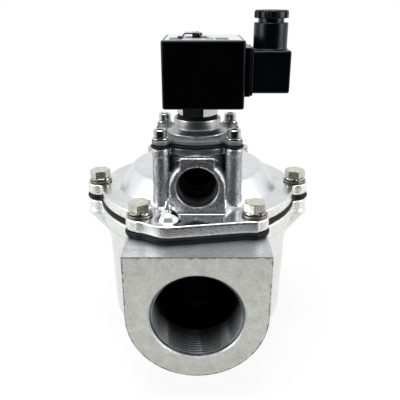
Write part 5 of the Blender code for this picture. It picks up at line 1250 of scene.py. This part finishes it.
# The stud's near-black finish is painted shade under the clip.
stud = turned("stud", [
    (0, STUD_TOP), (2.9, STUD_TOP), (3.2, STUD_TOP - 0.3), (3.2, COIL_TOP_LEVEL), (6.6, COIL_TOP_LEVEL),
    (6.6, COIL_TOP_LEVEL - 1.0), (0, COIL_TOP_LEVEL - 1.0)], PILOT, SHADED_STUD_STEEL, 64)
combine(nut, "UNION", tube, stud)
combine(nut, "DIFFERENCE", rod("tube_way", TUBE_BORE, TUBE_FOOT - 1, HEX_FOOT + 20, PILOT, STAINLESS, 96))
mount(nut, "valve", "stainless_steel", "core_tube", angle=28.0)

# %% [markdown]
# The coil is potted in black resin and cast in a polished mould, so its faces are
# nearly flat black with crisp, narrow lights along the rounded edges.
# %% Black plastics


def plastic(name, colour, rough, shine):
    """Moulded plastic: even colour with faint clouds of wear and a fine skin."""
    material, tree, place = new_finish(name)
    clouds = ramp_node(tree, noise_node(tree, place, 60.0, 4.0), 0.35, 0.7, 0.0, 1.0)
    # The bluish specular tint paints a bluish light into the plastics' reflections.
    surface(tree, {"Base Color": mix_node(tree, clouds, colour, tuple(v * 2.0 for v in colour)),
                   "Roughness": ramp_node(tree, clouds, 0.0, 1.0, rough, rough + 0.1),
                   "Specular IOR Level": shine, "Specular Tint": (0.82, 0.9, 1.0),
                   "Normal": bump_node(tree, noise_node(tree, place, 2200.0, 2.0), 2e-5)})
    return material


COIL_RESIN = plastic("coil_resin", (0.0004, 0.0004, 0.0006), rough=0.2, shine=0.12)
PLUG_PLASTIC = plastic("plug_plastic", (0.0007, 0.0009, 0.0015), rough=0.2, shine=0.22)
GREY_PLASTIC = plastic("grey_plastic", (0.22, 0.22, 0.23), rough=0.4, shine=0.4)
print("plastics ready")

# %% [markdown]
# The coil is a block with small radii, open through the middle for the core tube. A
# socket for the plug stands out at its side, and a shallow recess on top takes the
# name plate.
# %% The coil
COIL_SIDE, SOCKET_HALF = 29.0, 14.5
COIL_BORE, SCREW_BORE = 7.5, 1.8
CORNER_STEPS = 12


def edged_block(name, low, high, at, finish, edge, corner, rows=6):
    """A box with upright corners of one radius and rounded rims above and below.

    The outline is a rounded rectangle. Towards a rim it moves in by edge (1 - cos a),
    while the height moves by edge (1 - sin a).
    """
    (x0, y0, z0), (x1, y1, z1) = low, high
    a = np.linspace(0, np.pi / 2, rows)
    inset = np.concatenate([edge * (1 - np.sin(a)), edge * (1 - np.cos(a))])[:, None]
    height = np.concatenate([z0 + edge * (1 - np.cos(a)), z1 - edge * (1 - np.sin(a))])[:, None]
    arc = np.linspace(0, np.pi / 2, CORNER_STEPS)
    quarter = np.concatenate([arc + k * np.pi / 2 for k in range(4)])
    side_x, side_y = np.repeat([1, -1, -1, 1], CORNER_STEPS), np.repeat([1, 1, -1, -1], CORNER_STEPS)
    radius = np.maximum(corner - inset, 0.05)
    x = (x0 + x1) / 2 + side_x * ((x1 - x0) / 2 - inset - radius) + radius * np.cos(quarter)
    y = (y0 + y1) / 2 + side_y * ((y1 - y0) / 2 - inset - radius) + radius * np.sin(quarter)
    return grid(name, x, y, np.broadcast_to(height, x.shape), at, finish)


coil_low, coil_high = about("coil", PILOT)
gasket_low, gasket_high = about("connector_gasket", PILOT)
plate_low, plate_high = about("coil_nameplate", PILOT)
SOCKET_FACE = gasket_low[0] - GAP
SOCKET_LOW, SOCKET_TOP = gasket_low[2] - 0.5, gasket_high[2] + 0.5
SCREW_AT = PILOT + (0, 0, (SOCKET_LOW + SOCKET_TOP) / 2)
coil = edged_block("coil_look", coil_low, (COIL_SIDE, *coil_high[1:]), PILOT, COIL_RESIN, edge=1.2,
                   corner=2.2)
socket = edged_block("coil_socket", (COIL_SIDE - 4, -SOCKET_HALF, SOCKET_LOW),
                     (SOCKET_FACE, SOCKET_HALF, SOCKET_TOP), PILOT, COIL_RESIN, edge=0.15, corner=0.6)
combine(coil, "UNION", socket)
coil_way = rod("coil_way", COIL_BORE, coil_low[2] - 2, coil_high[2] + 2, PILOT, COIL_RESIN, 72)
recess = block("recess", plate_low - GAP, (*(plate_high[:2] + GAP), coil_high[2] + 3), PILOT, COIL_RESIN)
screw_way = rod("screw_way", SCREW_BORE, SOCKET_FACE - 5.2, SOCKET_FACE + 3, SCREW_AT, COIL_RESIN, lay="side")
combine(coil, "DIFFERENCE", coil_way, recess, screw_way)
mount(coil, "coil_unit", "black_plastic", "coil", angle=24.0)

# %% [markdown]
# On the coil lies a thin printed plate. Its fields of colour stay, while the words
# and figures on the real one are left out. The colours come from where a point lies
# on the plate, so the print follows the plate when the coil is turned. A bent strip
# of spring steel over it all holds the coil down.
# %% Name plate and clip
GREEN_INK, BLACK_INK = (0.02, 0.30, 0.10), (0.01, 0.01, 0.012)
PRINT = (0.53, 0.64, GREEN_INK), (0.06, 0.23, BLACK_INK), (0.66, 0.83, BLACK_INK)
PRINT_DEPTH = 0.05, 0.42


def plate_print(name, low, high):
    """Brushed metal with one green and two black fields, chosen by place on the plate."""
    material, tree, place = new_finish(name)
    parts = add_node(tree, "SeparateXYZ", {0: place}, None)
    across, deep = (ramp_node(tree, parts[i], low[i] * MM, high[i] * MM, 0.0, 1.0) for i in (0, 1))

    def inside(value, start, end):
        return math_node(tree, "MULTIPLY", math_node(tree, "GREATER_THAN", value, start),
                         math_node(tree, "LESS_THAN", value, end))

    stretched = add_node(tree, "Mapping", {"Vector": place, "Scale": (30.0, 2400.0, 1.0)})
    brushed = noise_node(tree, stretched, 1.0, 3.0)
    colour = mix_node(tree, brushed, (0.70, 0.71, 0.72), (0.56, 0.57, 0.59))
    for start, end, ink in PRINT:
        share = math_node(tree, "MULTIPLY", inside(across, start, end), inside(deep, *PRINT_DEPTH))
        colour = mix_node(tree, share, colour, ink)
    surface(tree, {"Base Color": colour, "Metallic": 0.7,
                   "Roughness": ramp_node(tree, brushed, 0.3, 0.7, 0.25, 0.42)})
    return material


def bent_clip(name, low, high, at, finish, sheet, foot, lean):
    """A strip bent up in two ramps: its height over x is a smooth step up and down.

    Each step is s^2 (3 - 2 s) over the ramp; the sheet's thickness is set off at
    right angles to the curve.
    """
    x = np.linspace(low[0], high[0], 97)
    share = np.minimum(np.clip((x - low[0] - foot) / lean, 0, 1), np.clip((high[0] - foot - x) / lean, 0, 1))
    z = low[2] + sheet / 2 + (high[2] - low[2] - sheet) * share ** 2 * (3 - 2 * share)
    slope = np.gradient(z, x)
    norm = np.hypot(1, slope)
    off_x, off_z = -slope / norm * sheet / 2, 1 / norm * sheet / 2
    ring_x = np.concatenate([x + off_x, (x - off_x)[::-1]])
    ring_z = np.concatenate([z + off_z, (z - off_z)[::-1]])
    return grid(name, *np.broadcast_arrays(ring_x, [[low[1]], [high[1]]], ring_z), at, finish)


plate_metal = plate_print("plate_print", plate_low + PILOT, plate_high + PILOT)
plate = edged_block("coil_nameplate_look", plate_low, plate_high, PILOT, plate_metal, edge=0.12, corner=0.9,
                    rows=3)
plate_hole = rod("plate_hole", COIL_BORE, plate_low[2] - 2, plate_high[2] + 2, PILOT, STAINLESS, 72)
combine(plate, "DIFFERENCE", plate_hole)
mount(plate, "coil_unit", "plate_metal", "coil_nameplate")

clip_low, clip_high = about("retaining_clip", PILOT)
clip = bent_clip("retaining_clip_look", clip_low, clip_high, PILOT, STAINLESS, sheet=0.8, foot=2.6, lean=2.4)
combine(clip, "DIFFERENCE", rod("clip_hole", 3.5, clip_low[2] - 2, clip_high[2] + 3, PILOT, STAINLESS, 48))
mount(clip, "valve", "stainless_steel", "retaining_clip", angle=32.0)

# %% [markdown]
# The plug sits on the coil's socket over a rubber gasket. Its housing is one moulding
# with the sleeve for the cable gland, and a grey insert in it carries the contacts.
# %% Plug, gasket and insert
plug_low, plug_high = about("connector_housing", PILOT)
PLUG_HALF = 13.5
PLUG_FOOT, PLUG_TOP = SCREW_AT[2] - 13.1, SCREW_AT[2] + 13.1
SLEEVE_X, SLEEVE_RADIUS, SLEEVE_TOP = plug_low[0] + 11.3, 10.7, plug_high[2]
PLUG_CELL = 0.55
WINDOW_HALF, CAVITY_HALF, PLUG_WALL = 7.5, 10.5, 3
sleeve_at = PILOT + (SLEEVE_X, 0, 0)

pressed = np.array([0.24, 0, 0])
gasket_low, gasket_high = gasket_low - pressed, gasket_high + pressed
gasket = edged_block("connector_gasket_look", gasket_low, gasket_high, PILOT, RUBBER, edge=0.12, corner=0.8)
window = block("window", (gasket_low[0] - 2, -WINDOW_HALF, -WINDOW_HALF),
               (gasket_high[0] + 2, WINDOW_HALF, WINDOW_HALF), SCREW_AT, RUBBER)
combine(gasket, "DIFFERENCE", window)
mount(gasket, "coil_unit", "black_rubber", "connector_gasket", angle=35.0)


def plug_field(x, y, z):
    """Rounded box and sleeve with a small fillet between; x runs out from the pilot axis."""
    low, high = (plug_low[0] - 3, -PLUG_HALF, PLUG_FOOT), (plug_high[0], PLUG_HALF, PLUG_TOP)
    box = kept(block_field(x, y, z, low, high, 1.5), plug_low[0] - x, 0.3)
    sleeve = plate_field(round_to(x, y, SLEEVE_X, 0, SLEEVE_RADIUS), between(z, PLUG_TOP - 6, SLEEVE_TOP),
                         0.5)
    return joined(box, sleeve, 1.2)


plug = skin("connector_housing_look", plug_field, (plug_low[0] - 1.5, -PLUG_HALF - 2, PLUG_FOOT - 1.5),
            (plug_high[0] + 1.5, PLUG_HALF + 2, SLEEVE_TOP + 1.5), PLUG_CELL, PILOT, PLUG_PLASTIC)
cavity = block("plug_cavity", (plug_low[0] - 3, -CAVITY_HALF, PLUG_FOOT + PLUG_WALL),
               (plug_low[0] + 20, CAVITY_HALF, PLUG_TOP - PLUG_WALL), PILOT, PLUG_PLASTIC)
combine(cavity, "UNION",
        rod("sleeve_way", 7.9, SLEEVE_TOP - 14.5, SLEEVE_TOP + 3, sleeve_at, PLUG_PLASTIC, 72),
        rod("wire_way", 5.4, PLUG_TOP - 6, SLEEVE_TOP - 12, sleeve_at, PLUG_PLASTIC, 48),
        rod("screw_well", 3.2, plug_high[0] - 1.9, plug_high[0] + 3, SCREW_AT, PLUG_PLASTIC, 48, lay="side"),
        rod("screw_tunnel", SCREW_BORE, plug_low[0] + 15, plug_high[0], SCREW_AT, PLUG_PLASTIC, lay="side"))
combine(plug, "DIFFERENCE", cavity)
mount(plug, "coil_unit", "black_plastic", "connector_housing", angle=35.0)

insert = edged_block("connector_insert_look", *about("connector_insert", PILOT), PILOT, GREY_PLASTIC,
                     edge=0.4, corner=0.8)
insert_way = rod("insert_way", SCREW_BORE, plug_low[0] - 3, plug_low[0] + 18, SCREW_AT, GREY_PLASTIC,
                 lay="side")
combine(insert, "DIFFERENCE", insert_way)
mount(insert, "coil_unit", "grey_plastic", "connector_insert", angle=35.0)

# %% [markdown]
# One slotted screw goes right through the plug to the coil. In the sleeve, a rubber
# seal and a washer close round the cable when the gland nut is turned down. The nut
# is gripped by hand, so twelve scallops run up its rim: at each height the outline
# is a circle less a small round bite at every scallop.
# %% Plug screw and cable gland
SLOT_HALF, SLOT_DEPTH = 0.4, 0.95
GLAND_HOLE, GLAND_RADIUS = 4.6, 7.6
NUT_RADIUS, NUT_BITES, BITE_RADIUS, BITE_DEPTH = 10.7, 12, 0.95, 0.9

(screw_low, _, _), (head_high, _, _) = span("connector_screw")
head_low = head_high - 1.9
plug_screw = turned("connector_screw_look", [
    (0, head_high), (1.5, head_high - 0.02), (2.3, head_high - 0.25), (2.8, head_high - 0.75),
    (2.9, head_high - 1.1), (2.9, head_low), (1.3, head_low), (1.3, head_low - 2), (0, head_low - 2)],
    SCREW_AT, ZINC, 64, lay="side")
long_shank = shank("connector_shank", radius=1.5, pitch=0.5, foot=0.0, top=head_low - 1.0 - screw_low,
                   plain=18.0, at=SCREW_AT + (screw_low, 0, 0), finish=ZINC, steps=24, lay="side")
combine(plug_screw, "UNION", long_shank)
slot_tool = block("slot", (head_high - SLOT_DEPTH, -4, -SLOT_HALF), (head_high + 1, 4, SLOT_HALF), SCREW_AT,
                  ZINC)
combine(plug_screw, "DIFFERENCE", slot_tool)
mount(plug_screw, "coil_unit", "zinc_steel", "connector_screw")

low, high = ends("gland_seal")
turned_part("gland_seal", [
    (4.9, low), (7.4, low), (GLAND_RADIUS, low + 0.3), (GLAND_RADIUS, high - 0.3), (7.4, high), (4.9, high),
    (GLAND_HOLE, high - 0.4), (GLAND_HOLE, low + 0.4)], sleeve_at, RUBBER, "coil_unit", "black_rubber", 40.0,
    64)
gland_washer = flat_washer("gland_washer_look", GLAND_HOLE, GLAND_RADIUS, *ends("gland_washer"), sleeve_at,
                           STAINLESS)
mount(gland_washer, "coil_unit", "stainless_steel", "gland_washer")


def bitten(turn, radius, depth):
    """A circle's radius with a round bite of a depth centred between the grips."""
    sector = (turn + np.pi / NUT_BITES) % (2 * np.pi / NUT_BITES) - np.pi / NUT_BITES
    across = np.abs((sector - np.sign(sector) * np.pi / NUT_BITES) * radius)
    bite = np.sqrt(np.maximum(BITE_RADIUS ** 2 - across ** 2, 0.0))
    return radius - np.minimum(bite, depth)


turn = around(288)
low, top = ends("gland_nut")
neck_foot = SLEEVE_TOP + GAP
rim_foot = neck_foot + 2.2
rows = [(GLAND_HOLE, low), (7.4, low), (GLAND_RADIUS, low + 0.3), (GLAND_RADIUS, neck_foot), (8.1, neck_foot),
        (8.1, rim_foot), (9.9, rim_foot)]
rows += [(bitten(turn, NUT_RADIUS - inward, BITE_DEPTH), height) for inward, height in (
    (0.25, rim_foot + 0.05), (0.0, rim_foot + 0.4), (0.0, top - 1.3), (0.12, top - 0.8), (0.45, top - 0.35),
    (0.9, top - 0.08))]
rows += [(NUT_RADIUS - 1.9, top), (5.4, top), (4.8, top - 0.3), (GLAND_HOLE, top - 0.8)]
gland_nut = wound("gland_nut_look", rows, turn, sleeve_at, PLUG_PLASTIC, loop=True)
mount(gland_nut, "coil_unit", "black_plastic", "gland_nut", angle=32.0)

# %% [markdown]
# Polished metal is drawn mostly by what it mirrors. The valve stands on a pale floor
# in a white tent, but the room before it, round the camera, is dark. Faces that look
# forwards mirror that darkness, and faces that look up, sideways or back mirror the
# tent. To the camera floor and tent are white, and the floor keeps a faint shadow.
# %% Floor and tent
FLOOR_HALF = 3000.0
DARK_FROM, DARK_TO, DARKNESS = -0.17, -0.30, 0.006
FRONT = (0.0, -0.985, 0.17)
AMBIENT = 0.4


def mix_shader(tree, share, first, second):
    return add_node(tree, "MixShader", {0: share, 1: first, 2: second})


def glow(tree, strength):
    """White light of a strength, which is a number or another node's output."""
    return add_node(tree, "Emission", {"Strength": strength})


def floor_finish():
    """Pale and shadowed to the camera; mirrored, it fades into the dark towards the front."""
    material, tree, place = new_finish("pale_floor")
    surface(tree, {"Base Color": (0.82, 0.82, 0.82), "Roughness": 0.9})
    rays = add_node(tree, "LightPath", {}, None)
    forward = add_node(tree, "SeparateXYZ", {0: place}, 1)
    fade = ramp_node(tree, forward, DARK_TO, DARK_FROM, DARKNESS, 1.0)
    far = add_node(tree, "VectorMath", {0: place}, "Value", operation="LENGTH")
    whiteness = math_node(tree, "MULTIPLY", rays["Is Camera Ray"], ramp_node(tree, far, 0.12, 0.4, 0.84, 1.0))
    seen = mix_shader(tree, whiteness, tree.nodes["Principled BSDF"].outputs[0], glow(tree, 1.0))
    both = mix_shader(tree, rays["Is Glossy Ray"], seen, glow(tree, fade))
    feed(tree, tree.nodes["Material Output"].inputs["Surface"], both)
    return material


def light_tent(tree):
    """White to the camera, AMBIENT for soft light, and dark to the front in mirrors."""
    rays = add_node(tree, "LightPath", {}, None)
    way = add_node(tree, "TexCoord", {}, "Generated")
    facing = add_node(tree, "VectorMath", {0: way, 1: FRONT}, "Value", operation="DOT_PRODUCT")
    mirrored = ramp_node(tree, facing, 0.55, 0.85, 1.0, DARKNESS)
    above = ramp_node(tree, add_node(tree, "SeparateXYZ", {0: way}, 2), 0.12, 0.5, DARKNESS, 0.42)
    room = math_node(tree, "MAXIMUM", mirrored, above)
    lit = add_node(tree, "Mix", {0: rays["Is Glossy Ray"], 2: AMBIENT, 3: room})
    seen = math_node(tree, "MAXIMUM", rays["Is Camera Ray"], rays["Is Transmission Ray"])
    strength = add_node(tree, "Mix", {0: seen, 2: lit, 3: 1.0})
    feed(tree, tree.nodes["Background"].inputs["Strength"], strength)
    feed(tree, tree.nodes["Background"].inputs["Color"], (1.0, 1.0, 1.0))


scene = bpy.context.scene
scene.view_settings.view_transform = "Standard"
floor_corners = np.array([(-1, -1, 0), (1, -1, 0), (1, 1, 0), (-1, 1, 0)]) * FLOOR_HALF
floor = quad_piece("floor", floor_corners, np.array([[0, 1, 2, 3]]), floor_finish())
scene.world = bpy.data.worlds.new("tent")
scene.world.use_nodes = True
light_tent(scene.world.node_tree)
print("floor of %.0f m and tent ready" % (2 * FLOOR_HALF * MM))

# %% [markdown]
# Three soft boxes do the lighting: a large one over and a little before the valve,
# and one at each side, which draw the bright edges of columns and screws.
# %% Soft boxes and camera
AIM = Vector((0.0, 0.0, 0.12))
CAMERA_AWAY, CAMERA_HEIGHT, CAMERA_TILT = 351.0, 250.4, np.radians(67.598)


def soft_box(name, place, size, power):
    """A square lamp of a width in metres and a power in watts that faces the valve."""
    lamp = bpy.data.lights.new(name, "AREA")
    lamp.size = size
    lamp.energy = power
    box = bpy.data.objects.new(name, lamp)
    box.location = place
    box.rotation_euler = (AIM - Vector(place)).to_track_quat("-Z", "Y").to_euler()
    scene.collection.objects.link(box)


soft_box("top_box", (-0.08, -0.12, 0.98), size=0.6, power=7.5)
soft_box("left_box", (-0.85, -0.30, 0.38), size=0.5, power=4.0)
soft_box("right_box", (0.85, -0.30, 0.38), size=0.5, power=4.0)

lens = bpy.data.cameras.new("camera")
lens.sensor_width = 36.0
lens.lens = 44.49
camera = bpy.data.objects.new("camera", lens)
camera.location = (1.75 * MM, (VALVE[1] - CAMERA_AWAY) * MM, CAMERA_HEIGHT * MM)
camera.rotation_euler = (CAMERA_TILT, 0.0, 0.0)
scene.collection.objects.link(camera)
scene.camera = camera
print("three soft boxes and a camera ready")
